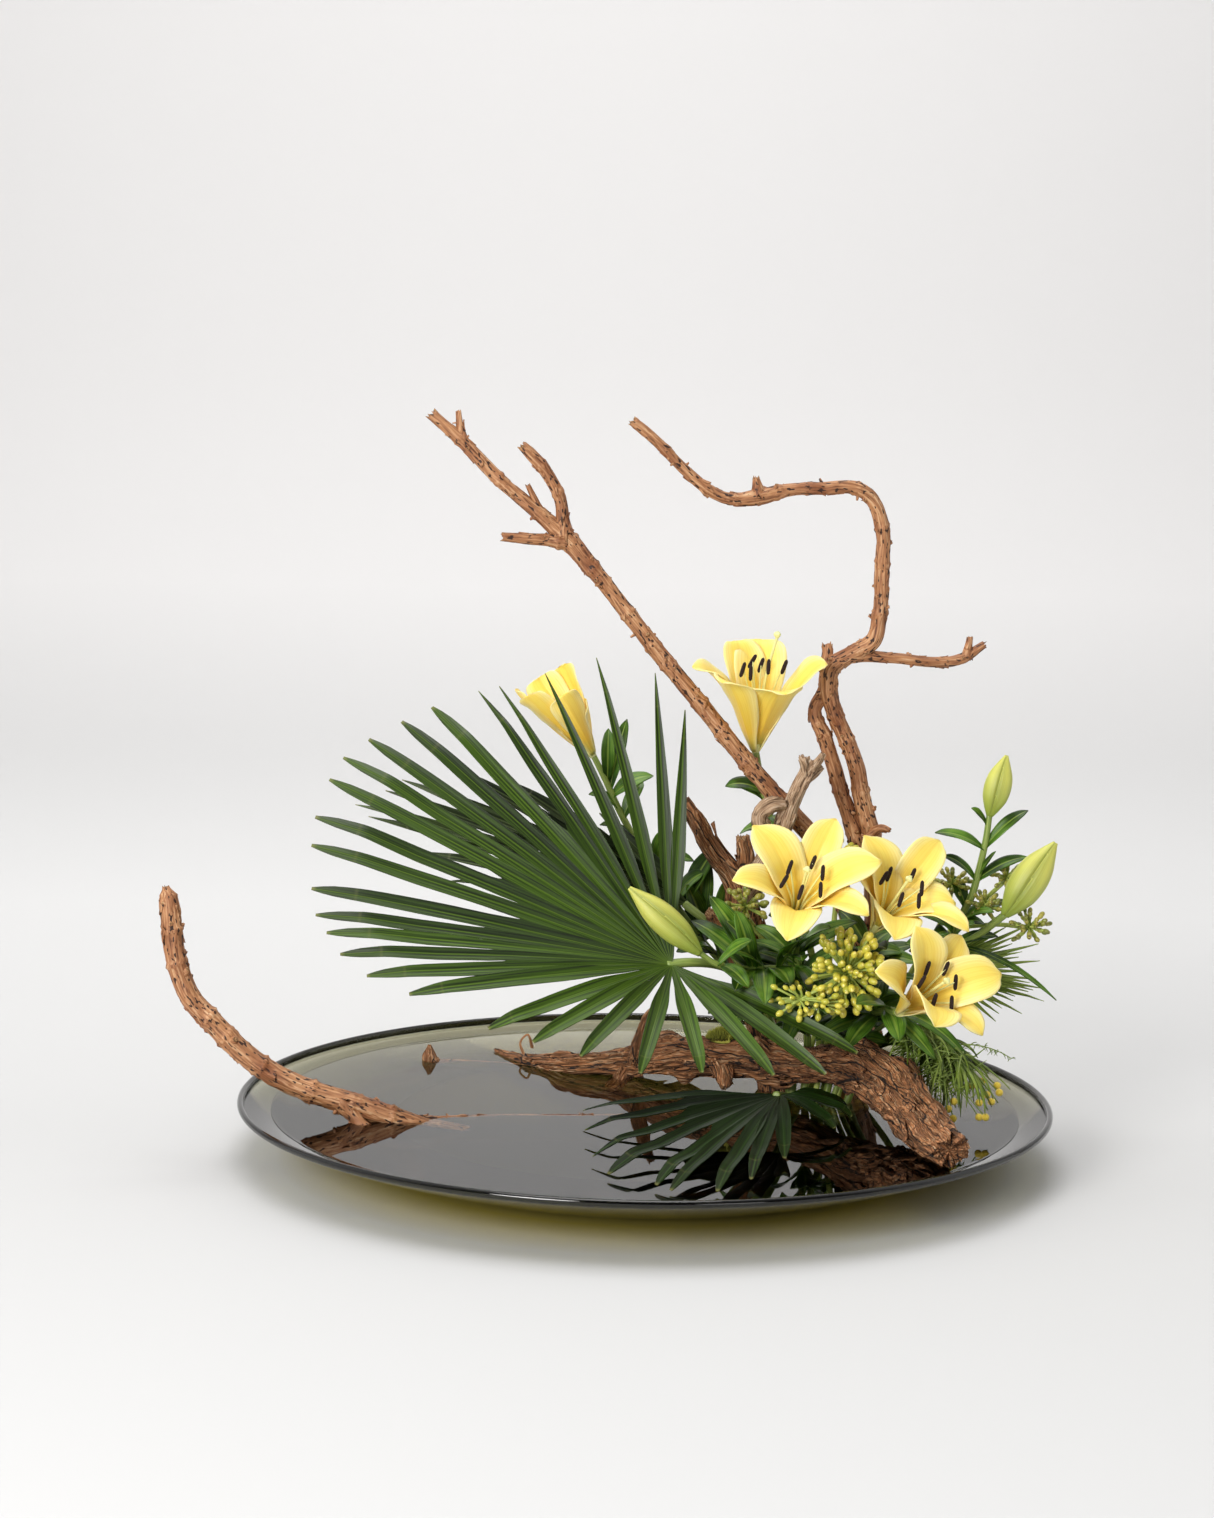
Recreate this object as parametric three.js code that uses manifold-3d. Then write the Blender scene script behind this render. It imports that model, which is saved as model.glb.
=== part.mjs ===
// Ikebana arrangement: lilies, fan palm leaves and driftwood held on a pin holder
// in a wide shallow dish of smoked glass, filled with water nearly to the rim.
// Millimetres, +Z up, origin at the centre of the dish's foot, front of the arrangement towards -Y.
import * as THREE from "three";
import Module from "manifold-3d";

const wasm = await Module();
wasm.setup();

// ---------- Driving dimensions ----------
const CLEARANCE = 0.35; // kept between pieces that touch

const RIM_RADIUS = 320;
const RIM_HEIGHT = 47;
const LIP = 2.8; // half the thickness of the rounded lip
const FOOT_RADIUS = 188;
const FLOOR_HEIGHT = 6; // top of the dish's floor above the table
const FLOOR_RADIUS = 186;
const DISH_SIDES = 40;
const WATER_LEVEL = 41;
const WATER_RADIUS = 293;

const HOLDER = { x: 136, y: 46, radius: 42, base: 9, pins: 14, pitch: 20, pinRadius: 1.5 };
const PIN_TIPS = FLOOR_HEIGHT + CLEARANCE + HOLDER.base + HOLDER.pins;
const SEAT = PIN_TIPS - 8; // stems are pressed this far down on to the pins

const PALM_BLADE = 1; // leaf thicknesses
const PETAL = 1.1;
const LEAF = 0.9;
const BERRY = 2.8;

// ---------- Small helpers ----------
const vec = ([x, y, z]) => new THREE.Vector3(x, y, z);
const between = (a, b, t) => a.clone().lerp(b, t);
const cross = (a, b) => new THREE.Vector3().crossVectors(a, b);

// A repeatable uneven value from -1 to 1.
function uneven(i, j = 0) {
  const s = Math.sin(i * 127.1 + j * 311.7 + 17.3) * 43758.5453;
  return 2 * (s - Math.floor(s)) - 1;
}

// Straight-line interpolation through evenly spaced values.
function along(values, t) {
  const at = t * (values.length - 1);
  const low = Math.min(Math.floor(at), values.length - 2);
  return THREE.MathUtils.lerp(values[low], values[low + 1], at - low);
}

// ---------- Solids ----------
// Closed triangles as a solid, turned the right way round.
function solid(points, faces) {
  const build = (order) =>
    new wasm.Manifold(
      new wasm.Mesh({
        numProp: 3,
        vertProperties: new Float32Array(points.flatMap((p) => [p.x, p.y, p.z])),
        triVerts: new Uint32Array(faces.flatMap(order)),
      }),
    );
  const made = build(([a, b, c]) => [a, b, c]);
  return made.volume() > 0 ? made : build(([a, b, c]) => [a, c, b]);
}

const join = (list) => list.reduce((all, one) => all.add(one));

// Closed skin over rings that all have the same number of points.
function skin(rings) {
  const n = rings[0].length;
  const last = (rings.length - 1) * n;
  const faces = [];
  for (let j = 0; j < n; j++) {
    const k = (j + 1) % n;
    for (let i = 0; i < last; i += n) {
      faces.push([i + j, i + k, i + n + k], [i + j, i + n + k, i + n + j]);
    }
    if (j > 0 && k > 0) faces.push([0, k, j], [last, last + j, last + k]);
  }
  return solid(rings.flat(), faces);
}

// Small four-sided body pointed at both ends.
function pip(from, to, radius, grow) {
  const low = vec(from);
  const high = vec(to);
  const line = high.clone().sub(low).normalize();
  low.addScaledVector(line, -grow);
  high.addScaledVector(line, grow);
  const across = cross(line, new THREE.Vector3(0.3, 0.9, 0.2)).normalize().multiplyScalar(radius + grow);
  const upward = cross(line, across);
  const middle = between(low, high, 0.5);
  const ring = [across, upward, across.clone().negate(), upward.clone().negate()];
  const points = [low, high, ...ring.map((offset) => middle.clone().add(offset))];
  const faces = [0, 1, 2, 3].flatMap((j) => {
    const k = (j + 1) % 4;
    return [[0, 2 + k, 2 + j], [1, 2 + j, 2 + k]];
  });
  return solid(points, faces);
}

// Solid of revolution about Z from a profile [r, z] that starts and ends on the axis.
function turned(profile, x = 0, y = 0, sides = DISH_SIDES) {
  const bottom = new THREE.Vector3(x, y, profile[0][1]);
  const top = new THREE.Vector3(x, y, profile[profile.length - 1][1]);
  const points = [bottom, top];
  const rings = profile.slice(1, -1);
  for (const [r, z] of rings) {
    for (let j = 0; j < sides; j++) {
      const turn = (2 * Math.PI * j) / sides;
      points.push(new THREE.Vector3(x + r * Math.cos(turn), y + r * Math.sin(turn), z));
    }
  }
  const faces = [];
  const last = 2 + (rings.length - 1) * sides;
  for (let j = 0; j < sides; j++) {
    const k = (j + 1) % sides;
    for (let i = 2; i < last; i += sides) {
      faces.push([i + j, i + k, i + sides + k], [i + j, i + sides + k, i + sides + j]);
    }
    faces.push([0, 2 + k, 2 + j], [1, last + j, last + k]);
  }
  return solid(points, faces);
}

// Round rod through [x, y, z, radius] points. Lumps make its skin uneven, as bark is.
function rod(path, { sides = 5, split = 1, grow = 0, lumps = 0 } = {}) {
  const curve = new THREE.CatmullRomCurve3(path.map(vec), false, "centripetal");
  const radii = path.map((p) => p[3]);
  const count = (path.length - 1) * split;
  let across = new THREE.Vector3(0.31, 0.9, 0.24);
  const rings = [];
  for (let i = 0; i <= count; i++) {
    const t = i / count;
    const place = curve.getPoint(t);
    const tangent = curve.getTangent(t);
    across = across.clone().addScaledVector(tangent, -across.dot(tangent)).normalize();
    const upward = cross(tangent, across);
    if (i === 0) place.addScaledVector(tangent, -grow);
    if (i === count) place.addScaledVector(tangent, grow);
    const ring = [];
    for (let j = 0; j < sides; j++) {
      const turn = (2 * Math.PI * j) / sides;
      const radius = along(radii, t) * (1 + lumps * uneven(i + path[0][0], j)) + grow;
      ring.push(
        place
          .clone()
          .addScaledVector(across, radius * Math.cos(turn))
          .addScaledVector(upward, radius * Math.sin(turn)),
      );
    }
    rings.push(ring);
  }
  return skin(rings);
}

// Thin solid from one layer of triangles: the same triangles on both faces, walls round the edge.
function sheet(points, faces, thickness, grow = 0) {
  const normals = points.map(() => new THREE.Vector3());
  const outward = points.map(() => new THREE.Vector3());
  const edges = new Map();
  for (const [a, b, c] of faces) {
    const normal = cross(points[b].clone().sub(points[a]), points[c].clone().sub(points[a]));
    for (const [p, q] of [[a, b], [b, c], [c, a]]) {
      normals[p].add(normal);
      edges.set(`${p},${q}`, { p, q, normal });
    }
  }
  const rim = [...edges.values()].filter(({ p, q }) => !edges.has(`${q},${p}`));
  for (const { p, q, normal } of rim) {
    const out = cross(points[q].clone().sub(points[p]), normal).normalize();
    outward[p].add(out);
    outward[q].add(out);
  }
  const layer = (side) =>
    points.map((point, i) =>
      point
        .clone()
        .addScaledVector(outward[i].clone().normalize(), grow)
        .addScaledVector(normals[i].clone().normalize(), side * (thickness / 2 + grow)),
    );
  const n = points.length;
  return solid(
    [...layer(1), ...layer(-1)],
    [
      ...faces,
      ...faces.map(([a, b, c]) => [a + n, c + n, b + n]),
      ...rim.flatMap(({ p, q }) => [[q, p, p + n], [q, p + n, q + n]]),
    ],
  );
}

// Blade three points wide: stations give the place, the side direction, the half width
// and how far the two edges are lifted.
function blade(stations, thickness, grow) {
  const points = [];
  const faces = [];
  stations.forEach(({ place, side, half, lift }, i) => {
    points.push(
      place.clone().addScaledVector(side, -half).add(lift),
      place.clone(),
      place.clone().addScaledVector(side, half).add(lift),
    );
    if (i === 0) return;
    for (const k of [3 * i - 3, 3 * i - 2]) {
      faces.push([k, k + 1, k + 4], [k, k + 4, k + 3]);
    }
  });
  return sheet(points, faces, thickness, grow);
}

// Pointed leaf from base to tip, bowed upwards by bow and folded along its midrib.
const LEAF_WIDTH = [0.4, 1, 0.08];
function leaf(base, tip, half, { bow = 6, fold = 0.25, grow = 0, facing = [0, -0.6, 0.8] } = {}) {
  const from = vec(base);
  const to = vec(tip);
  const face = vec(facing).normalize();
  const bend = between(from, to, 0.5).addScaledVector(face, 2 * bow);
  const curve = new THREE.QuadraticBezierCurve3(from, bend, to);
  const stations = LEAF_WIDTH.map((share, i) => {
    const t = i / (LEAF_WIDTH.length - 1);
    const side = cross(curve.getTangent(t), face).normalize();
    const width = Math.max(share * half, 0.6);
    const lift = cross(side, curve.getTangent(t)).multiplyScalar(fold * width);
    return { place: curve.getPoint(t), side, half: width, lift };
  });
  return blade(stations, LEAF, grow);
}

// ---------- Dish, water and pin holder ----------
const WALL_OUT = [[FOOT_RADIUS, 0], [FOOT_RADIUS + 6, 1.5], [252, 19.5], [300, 36.5]];
const WALL_IN = [[300, 43.4], [250, 24.5], [206, 10.6], [FLOOR_RADIUS, FLOOR_HEIGHT]];
const LIP_ROUND = [
  [RIM_RADIUS - 4, RIM_HEIGHT - 4.2],
  [RIM_RADIUS, RIM_HEIGHT],
  [RIM_RADIUS - 2, RIM_HEIGHT + LIP - 0.6],
  [RIM_RADIUS - 6, RIM_HEIGHT + LIP - 0.8],
];

function dish(grow) {
  const inner = WALL_IN.map(([r, z]) => [r, z + grow]);
  const outer = WALL_OUT.map(([r, z]) => [r, z - grow]);
  const lip = LIP_ROUND.map(([r, z], i) => [i < 2 ? r + grow : r, z + grow * (i < 1 ? -1 : 1)]);
  return turned([[0, -grow], ...outer, ...lip, ...inner, [0, FLOOR_HEIGHT + grow]]);
}

function water(grow) {
  const inner = [...WALL_IN].reverse().slice(0, -1);
  const bed = inner.map(([r, z]) => [r, z + 2 * CLEARANCE]);
  const edge = [WATER_RADIUS, WATER_LEVEL];
  return turned([[0, FLOOR_HEIGHT + 2 * CLEARANCE], ...bed, edge, [0, WATER_LEVEL]]);
}

// Heavy round plate with a field of upright pins, hidden under the water.
function pinHolder(grow) {
  const { x, y, radius, base, pins, pitch, pinRadius } = HOLDER;
  const floor = FLOOR_HEIGHT + CLEARANCE;
  const plate = [
    [0, floor - grow],
    [radius + grow, floor - grow],
    [radius + grow, floor + base - 1],
    [radius - 1, floor + base + grow],
    [0, floor + base + grow],
  ];
  const parts = [turned(plate, x, y, 24)];
  const rows = Math.floor((radius - 5) / (pitch * 0.866));
  for (let row = -rows; row <= rows; row++) {
    const shift = row % 2 ? pitch / 2 : 0;
    for (let column = -4; column <= 4; column++) {
      const dx = column * pitch + shift;
      const dy = row * pitch * 0.866;
      if (Math.hypot(dx, dy) > radius - 5) continue;
      const foot = [x + dx, y + dy, floor + base - 2, pinRadius];
      const tip = [x + dx, y + dy, PIN_TIPS, 0.5];
      parts.push(rod([foot, tip], { sides: 3, grow }));
    }
  }
  return join(parts);
}

// Plain round well that the pin holder and the stems' feet stand in.
function well() {
  const { x, y, radius } = HOLDER;
  const low = FLOOR_HEIGHT;
  const high = PIN_TIPS + 2 * CLEARANCE;
  const wide = radius + 2 * CLEARANCE;
  return turned([[0, low - 1], [wide, low - 1], [wide, high], [0, high]], x, y, 24);
}

// ---------- Wood ----------
const LOG = [
  [-124, 191, 41, 2.5],
  [-106, 162, 42, 4],
  [-82, 136, 44, 6],
  [-58, 114, 48, 9],
  [-14, 104, 54, 11],
  [26, 86, 62, 16],
  [50, 70, 66, 16.5],
  [79, 53, 69, 15],
  [117, 30, 71, 14],
  [150, -2, 75, 14.5],
  [170, -28, 79, 18.5],
  [187, -62, 75, 19],
  [202, -112, 64, 18],
  [214, -160, 57, 15],
  [221, -196, 57, 12],
];
const LOG_LIMBS = [
  [[-14, 104, 50, 8], [-20, 98, 30, 8], [-26, 94, 2, 7]],
  [[-4, 94, 56, 8], [-3, 86, 74, 6], [2, 84, 92, 4], [8, 82, 103, 2.5]],
  [[60, 56, 66, 9], [64, 44, 56, 7], [66, 38, 48, 4]],
  [[104, 40, 70, 8], [96, 30, 82, 6], [88, 24, 90, 3.5]],
  [[206, -120, 64, 10], [222, -150, 58, 6], [226, -172, 57, 4]],
  [[-66, 122, 46, 3], [-104, 150, 35, 2], [-150, 162, 33, 2.2], [-177, 153, 38, 7], [-179, 153, 54, 1]],
  [[-98, 158, 42, 2], [-103, 168, 54, 1], [-97, 171, 60, 0.9], [-93, 170, 49, 1.6]],
];

const LONG_BRANCH = [
  [-172, -10, 582, 4.5],
  [-149, -8, 562, 5],
  [-119, -4, 532, 5.5],
  [-88, 0, 506, 5.8],
  [-68, 4, 488, 8],
  [-41, 8, 457, 6.3],
  [-2, 14, 408, 6.5],
  [38, 18, 360, 6.8],
  [79, 22, 310, 7.2],
  [111, 26, 274, 7.5],
  [136, 30, 245, 8],
  [157, 34, 202, 8.2],
  [169, 40, 153, 8.5],
  [176, 46, 111, 8.5],
  [172, 46, 69, 8.5],
  [157, 40, SEAT, 8.5],
];
const LONG_LIMBS = [
  [[-70, 3, 490, 6], [-73, 0, 518, 5], [-84, -4, 539, 5], [-96, -8, 553, 4.8], [-102, -10, 559, 3.8]],
  [[-68, 4, 486, 5.5], [-92, -2, 487, 4.6], [-117, -8, 489, 3.6]],
  [[-86, 1, 504, 3.5], [-98, -4, 529, 2]],
  [[-149, -8, 562, 3.5], [-152, -6, 585, 2.2]],
];

const RIGHT_BRANCH = [
  [-18, -16, 579, 3.5],
  [-10, -14, 573, 4.2],
  [6, -10, 559, 4],
  [21, -6, 544, 4.2],
  [45, 0, 525, 4.6],
  [61, 4, 520, 5],
  [81, 8, 522, 6.5],
  [107, 14, 528, 5.2],
  [132, 18, 529, 5.2],
  [154, 22, 530, 5.4],
  [169, 27, 522, 5.6],
  [179, 33, 498, 5.8],
  [180, 40, 458, 6],
  [180, 44, 431, 6.2],
  [175, 47, 408, 6.6],
  [158, 50, 397, 6.8],
  [143, 50, 386, 7.5],
  [141, 50, 370, 7.8],
  [147, 53, 349, 6.8],
  [157, 55, 328, 6.6],
  [165, 57, 308, 6.8],
  [171, 59, 279, 7.2],
  [180, 62, 245, 8],
  [184, 66, 197, 9],
  [186, 70, 148, 9.5],
  [184, 72, 98, 9.5],
  [161, 57, SEAT, 9],
];
const RIGHT_LIMBS = [
  [
    [142, 52, 371, 5.5],
    [131, 55, 352, 5.5],
    [139, 57, 330, 6],
    [147, 60, 308, 6.2],
    [156, 63, 280, 6.4],
    [166, 65, 252, 7],
    [177, 65, 222, 7],
  ],
  [[140, 51, 384, 5], [140, 55, 404, 4]],
  [[158, 50, 397, 5], [196, 54, 394, 4.4], [226, 60, 391, 4.2], [246, 64, 393, 4.6], [266, 68, 405, 3.2]],
  [[252, 65, 394, 3.4], [254, 66, 411, 2.6]],
  [[81, 8, 522, 5], [78, 6, 537, 2.6]],
  [[175, 61, 248, 5], [186, 51, 258, 3.5], [193, 47, 257, 2]],
  [[180, 62, 236, 5], [192, 53, 240, 3]],
];

const LEFT_BRANCH = [
  [-369, -64, 221, 2.5],
  [-367, -64, 212, 7],
  [-365, -64, 193, 8],
  [-361, -64, 164, 8.2],
  [-351, -64, 137, 8.4],
  [-331, -64, 114, 8.6],
  [-305, -64, 89, 8.8],
  [-274, -64, 70, 9],
  [-243, -64, 59, 9],
  [-216, -64, 51, 9],
  [-190, -62, 42, 8.6],
  [-166, -58, 32, 8],
  [-140, -54, 14, 7],
];
const LEFT_LIMBS = [
  [[-232, -64, 55, 7], [-222, -70, 44, 5.5], [-214, -74, 36, 4.5]],
  [[-178, -54, 36, 3], [-115, -36, 35, 2.6], [-35, -30, 33, 2.4], [50, 10, 22, 2.4], [98, 44, 11, 3]],
];

const UPRIGHT = [
  [107, 59, SEAT, 9],
  [100, 76, 70, 12],
  [88, 70, 120, 13],
  [79, 60, 165, 14],
  [76, 52, 194, 13],
  [72, 46, 213, 9.5],
  [53, 45, 239, 6.8],
  [41, 45, 259, 6.4],
  [28, 45, 280, 4],
];
const UPRIGHT_LIMBS = [
  [[72, 48, 208, 8], [78, 41, 234, 6], [75, 37, 251, 5.5]],
  [[76, 50, 202, 7], [87, 32, 226, 6], [91, 26, 240, 4.5]],
  [
    [76, 50, 194, 9],
    [88, 30, 220, 8.5],
    [98, 12, 243, 8],
    [105, 4, 262, 7.5],
    [111, 0, 283, 6.4],
    [119, 0, 303, 6.2],
    [127, 0, 318, 4.4],
  ],
  [[104, 4, 262, 6], [96, -5, 266, 6.5], [91, -7, 277, 5]],
  [[78, 56, 186, 9], [60, 42, 178, 6], [50, 36, 190, 3]],
  [[80, 58, 172, 9], [88, 38, 160, 6], [90, 30, 150, 3.5]],
];

function timber(trunk, limbs, sides, lumps) {
  return (grow) => {
    const parts = [rod(trunk, { sides, grow, lumps })];
    for (const limb of limbs) {
      parts.push(rod(limb, { sides: 5, grow, lumps: lumps / 2 }));
    }
    return join(parts);
  };
}

// ---------- Fan palm leaves ----------
// One folded sheet: ribs run from the hub to the tips, and neighbouring segments share an
// edge as far out as the station at which they split.
const FAN_STATIONS = [0.12, 0.48, 0.78, 1];
const FREE_WIDTH = [1, 0.96, 0.7, 0.07];

function fan({ hub, tips, splits, facing, arch, widest, pleat = 0.22 }, grow) {
  const centre = vec(hub);
  const face = vec(facing).normalize();
  const ends = tips.map(vec);
  const ribAt = (i, t) =>
    between(centre, ends[i], t).addScaledVector(face, arch * 4 * t * (1 - t) - arch * 0.6 * t ** 4);
  const points = [centre];
  const add = (point) => points.push(point) - 1;
  const lastStation = FAN_STATIONS.length - 1;
  const faces = [];
  let shared = [];
  ends.forEach((end, i) => {
    const toward = end.clone().sub(centre).normalize();
    const side = cross(face, toward).normalize();
    const angleTo = (other) =>
      ends[other] ? ends[other].clone().sub(centre).normalize().angleTo(toward) : 0.1;
    const half = (k, other) => {
      const split = splits[Math.min(i, other)] ?? 0;
      const reach = FAN_STATIONS[Math.min(k, split)] * end.distanceTo(centre);
      const spread = Math.min(reach * Math.tan(angleTo(other) / 2), widest);
      return Math.max(spread, k ? widest * 0.7 : 1) * FREE_WIDTH[k];
    };
    const left = [];
    const rib = [];
    const right = [];
    const nextShared = [];
    FAN_STATIONS.forEach((t, k) => {
      const middle = ribAt(i, t);
      const raise = (width) => face.clone().multiplyScalar(pleat * width);
      rib.push(add(middle));
      const leftHalf = half(k, i - 1);
      left.push(
        shared[k] ?? add(middle.clone().addScaledVector(side, -leftHalf).add(raise(leftHalf))),
      );
      const fused = i + 1 < ends.length && k <= splits[i];
      if (fused) {
        const meeting = between(middle, ribAt(i + 1, t), 0.5);
        const width = meeting.distanceTo(middle);
        nextShared.push(add(meeting.add(raise(width))));
        right.push(nextShared[k]);
      } else {
        const rightHalf = half(k, i + 1);
        right.push(add(middle.clone().addScaledVector(side, rightHalf).add(raise(rightHalf))));
      }
    });
    faces.push([rib[0], left[0], 0], [right[0], rib[0], 0]);
    for (let k = 0; k < lastStation; k++) {
      faces.push([left[k], rib[k], rib[k + 1]], [left[k], rib[k + 1], left[k + 1]]);
      faces.push([rib[k], right[k], right[k + 1]], [rib[k], right[k + 1], rib[k + 1]]);
    }
    shared = nextShared;
  });
  return sheet(points, faces, PALM_BLADE, grow);
}

// Tips run from the topmost segment round by the left to the lowest at the right.
const PALM_LARGE = {
  hub: [19, -25, 159],
  facing: [0.05, -0.86, 0.5],
  arch: 7,
  widest: 6.6,
  tips: [
    [27, 10, 357],
    [3, 12, 385],
    [-43, 18, 396],
    [-83, 20, 383],
    [-119, 18, 372],
    [-135, 14, 369],
    [-171, 8, 356],
    [-194, 0, 345],
    [-219, -8, 332],
    [-238, -16, 318],
    [-248, -24, 302],
    [-258, -34, 274],
    [-260, -42, 253],
    [-259, -52, 221],
    [-255, -60, 202],
    [-246, -66, 189],
    [-235, -72, 174],
    [-214, -80, 159],
    [-181, -90, 147],
    [-120, -105, 125],
    [-86, -115, 117],
    [-50, -125, 109],
    [-5, -135, 99],
    [41, -135, 100],
    [95, -130, 98],
    [135, -115, 96],
    [160, -95, 108],
  ],
  splits: [0, 0, 0, 0, 1, 1, 1, 1, 1, 1, 1, 1, 1, 1, 1, 1, 1, 0, 0, 0, 0, 0, 0, 0, 0, 0, 0],
};
const PALM_BACK = {
  hub: [34, 48, 194],
  facing: [0.05, -0.9, 0.42],
  arch: 6,
  widest: 8,
  tips: [
    [-39, 58, 267],
    [-113, 60, 292],
    [-159, 58, 303],
    [-197, 54, 292],
    [-210, 52, 283],
    [-234, 50, 272],
    [-223, 46, 263],
    [-185, 40, 236],
    [-157, 34, 214],
  ],
  splits: [1, 1, 1, 1, 1, 1, 1, 1, 1],
};
const PALM_FRONT = {
  hub: [104, -50, 63],
  facing: [0, -0.25, 0.97],
  arch: 4,
  widest: 6.4,
  tips: [
    [-48, -54, 52],
    [-46, -113, 50],
    [-40, -183, 48],
    [-28, -228, 47],
    [6, -256, 46],
    [16, -266, 46],
    [49, -268, 46],
    [74, -239, 47],
    [101, -181, 49],
    [143, -106, 53],
    [158, -76, 55],
    [157, -40, 56],
  ],
  splits: [1, 1, 1, 1, 1, 1, 0, 0, 0, 0, 0, 0],
};
const PALM_RIGHT = {
  hub: [232, 44, 151],
  facing: [-0.1, -0.8, 0.6],
  arch: -3,
  widest: 4,
  tips: [
    [275, -6, 114],
    [296, 0, 119],
    [314, 6, 128],
    [314, 12, 137],
    [309, 18, 143],
    [312, 22, 157],
    [311, 26, 170],
    [304, 30, 185],
    [292, 34, 201],
  ],
  splits: [1, 1, 1, 1, 1, 1, 1, 1, 1],
};
const PETIOLES = {
  large: [[15, -23, 159, 4], [35, -18, 160, 3.6], [62, 5, 152, 3.4], [90, 30, 128, 3.4], [114, 53, 90, 3.4],
    [120, 54, 55, 3.4], [117, 45, SEAT, 3.4]],
  back: [[30, 49, 195, 3.4], [52, 40, 178, 3], [80, 39, 140, 3], [103, 58, 95, 3], [114, 59, 58, 3],
    [121, 53, SEAT, 3]],
  front: [[101, -55, 64, 3], [110, -22, 56, 2.6], [120, 5, 46, 2.6], [127, 22, 33, 2.6],
    [129, 23, SEAT, 2.6]],
  right: [[236, 42, 155, 3], [221, 52, 132, 2.8], [206, 72, 95, 2.8], [172, 80, 50, 2.8],
    [155, 75, SEAT, 2.8]],
};

function palm(shape, petiole) {
  return (grow) => join([fan(shape, grow), rod(petiole, { grow })]);
}

// ---------- Lilies ----------
// A tepal rises along the axis, swells outwards by its flare and turns back to its tip.
const TEPAL_WIDTH = [0.16, 0.66, 1.05, 0.07];
const TEPAL_CUP = [0.3, 0.4, 0.25, 0];

function tepal(base, axis, tip, widest, outer, flare, grow) {
  const to = tip.clone().sub(base);
  const height = to.dot(axis);
  const out = to.clone().addScaledVector(axis, -height);
  const spread = out.length();
  const radial = out.normalize();
  const point = (up, sideways) =>
    base.clone().addScaledVector(axis, up).addScaledVector(radial, sideways);
  const curve = new THREE.CubicBezierCurve3(
    point(outer ? -1 : 3, outer ? 3.2 : 1.6),
    point(height * 0.5, spread * (flare[0] + (outer ? 0.12 : 0))),
    point(height * 1.08, spread * (flare[1] + (outer ? 0.07 : 0))),
    tip,
  );
  const side = cross(axis, radial).normalize();
  const stations = TEPAL_WIDTH.map((share, i) => {
    const t = i / (TEPAL_WIDTH.length - 1);
    const half = Math.max(widest * share, 0.8);
    const inward = cross(side, curve.getTangent(t)).normalize();
    if (inward.dot(radial) > 0) inward.negate();
    return {
      place: curve.getPoint(t),
      side,
      half,
      lift: inward.multiplyScalar(half * TEPAL_CUP[i]),
    };
  });
  return blade(stations, PETAL, grow);
}

function bloom({ base, axis, tips, wide = 18.5, narrow = 14.5, flare = [0.12, 0.48], stigma = 58 }) {
  return (grow) => {
    const from = vec(base);
    const line = vec(axis).normalize();
    const parts = tips.map((tip, i) =>
      tepal(from, line, vec(tip), i % 2 ? wide : narrow, i % 2 === 0, flare, grow),
    );
    const at = (up) => from.clone().addScaledVector(line, up).toArray();
    parts.push(rod([[...at(-3), 3.2], [...at(6), 4.2]], { sides: 6, grow }));
    if (stigma === 0) return join(parts);
    const pistil = [[...at(5), 1.4], [...at(stigma - 1), 1.1], [...at(stigma + 2), 2.6]];
    parts.push(rod(pistil, { sides: 4, grow }));
    tips.forEach((tip, i) => {
      const radial = vec(tip).sub(from);
      radial.addScaledVector(line, -radial.dot(line)).normalize();
      const reach = 15 + 3 * uneven(i, 5);
      const tall = stigma * (0.86 + 0.06 * uneven(i, 9));
      const out = (up, r) => from.clone().addScaledVector(line, up).addScaledVector(radial, r);
      const filament = [[...out(5, 2).toArray(), 0.9], [...out(tall, reach).toArray(), 0.8]];
      parts.push(rod(filament, { sides: 3, grow }));
      const low = out(tall - 5, reach + 1.5).toArray();
      const high = out(tall + 5, reach - 0.5).toArray();
      parts.push(pip(low, high, 1.9, grow));
    });
    return join(parts);
  };
}

const BLOOMS = {
  top: {
    base: [84, 42, 321],
    axis: [0.04, -0.27, 0.96],
    tips: [[138, 22, 391], [87, 72, 406], [67, 64, 405], [32, 14, 388], [54, -23, 380], [103, -27, 372]],
    flare: [0.3, 0.72],
    stigma: 80,
    wide: 20,
    narrow: 16,
  },
  left: {
    base: [-46, 80, 311],
    axis: [-0.55, -0.06, 0.83],
    tips: [[-107, 75, 362], [-90, 100, 369], [-71, 95, 380], [-52, 80, 355], [-70, 52, 360], [-97, 56, 359]],
    flare: [0.72, 1.1],
    stigma: 0,
    wide: 15,
    narrow: 13,
  },
  centre: {
    base: [112, -43, 198],
    axis: [0.12, -0.6, 0.79],
    tips: [[143, -32, 277], [79, -48, 273], [62, -98, 238], [102, -131, 199], [164, -110, 215],
      [177, -63, 249]],
  },
  right: {
    base: [176, -25, 190],
    axis: [0.39, -0.51, 0.76],
    tips: [[226, -9, 258], [166, -30, 264], [147, -72, 247], [184, -108, 197], [243, -80, 199],
      [237, -39, 213]],
  },
  low: {
    base: [193, -71, 134],
    axis: [0.53, -0.64, 0.55],
    tips: [[238, -69, 194], [201, -95, 205], [168, -133, 177], [212, -146, 139], [251, -119, 127],
      [269, -77, 166]],
  },
};

// Closed bud: long, rounded and slightly three-cornered.
const BUD_SHAPE = [0.25, 0.62, 0.9, 1, 0.98, 0.82, 0.5, 0.15];
function bud(base, tip, radius) {
  const from = vec(base);
  const to = vec(tip);
  return (grow) => {
    const path = BUD_SHAPE.map((share, i) => [
      ...between(from, to, i / (BUD_SHAPE.length - 1)).toArray(),
      share * radius,
    ]);
    return rod(path, { sides: 6, grow });
  };
}

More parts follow.
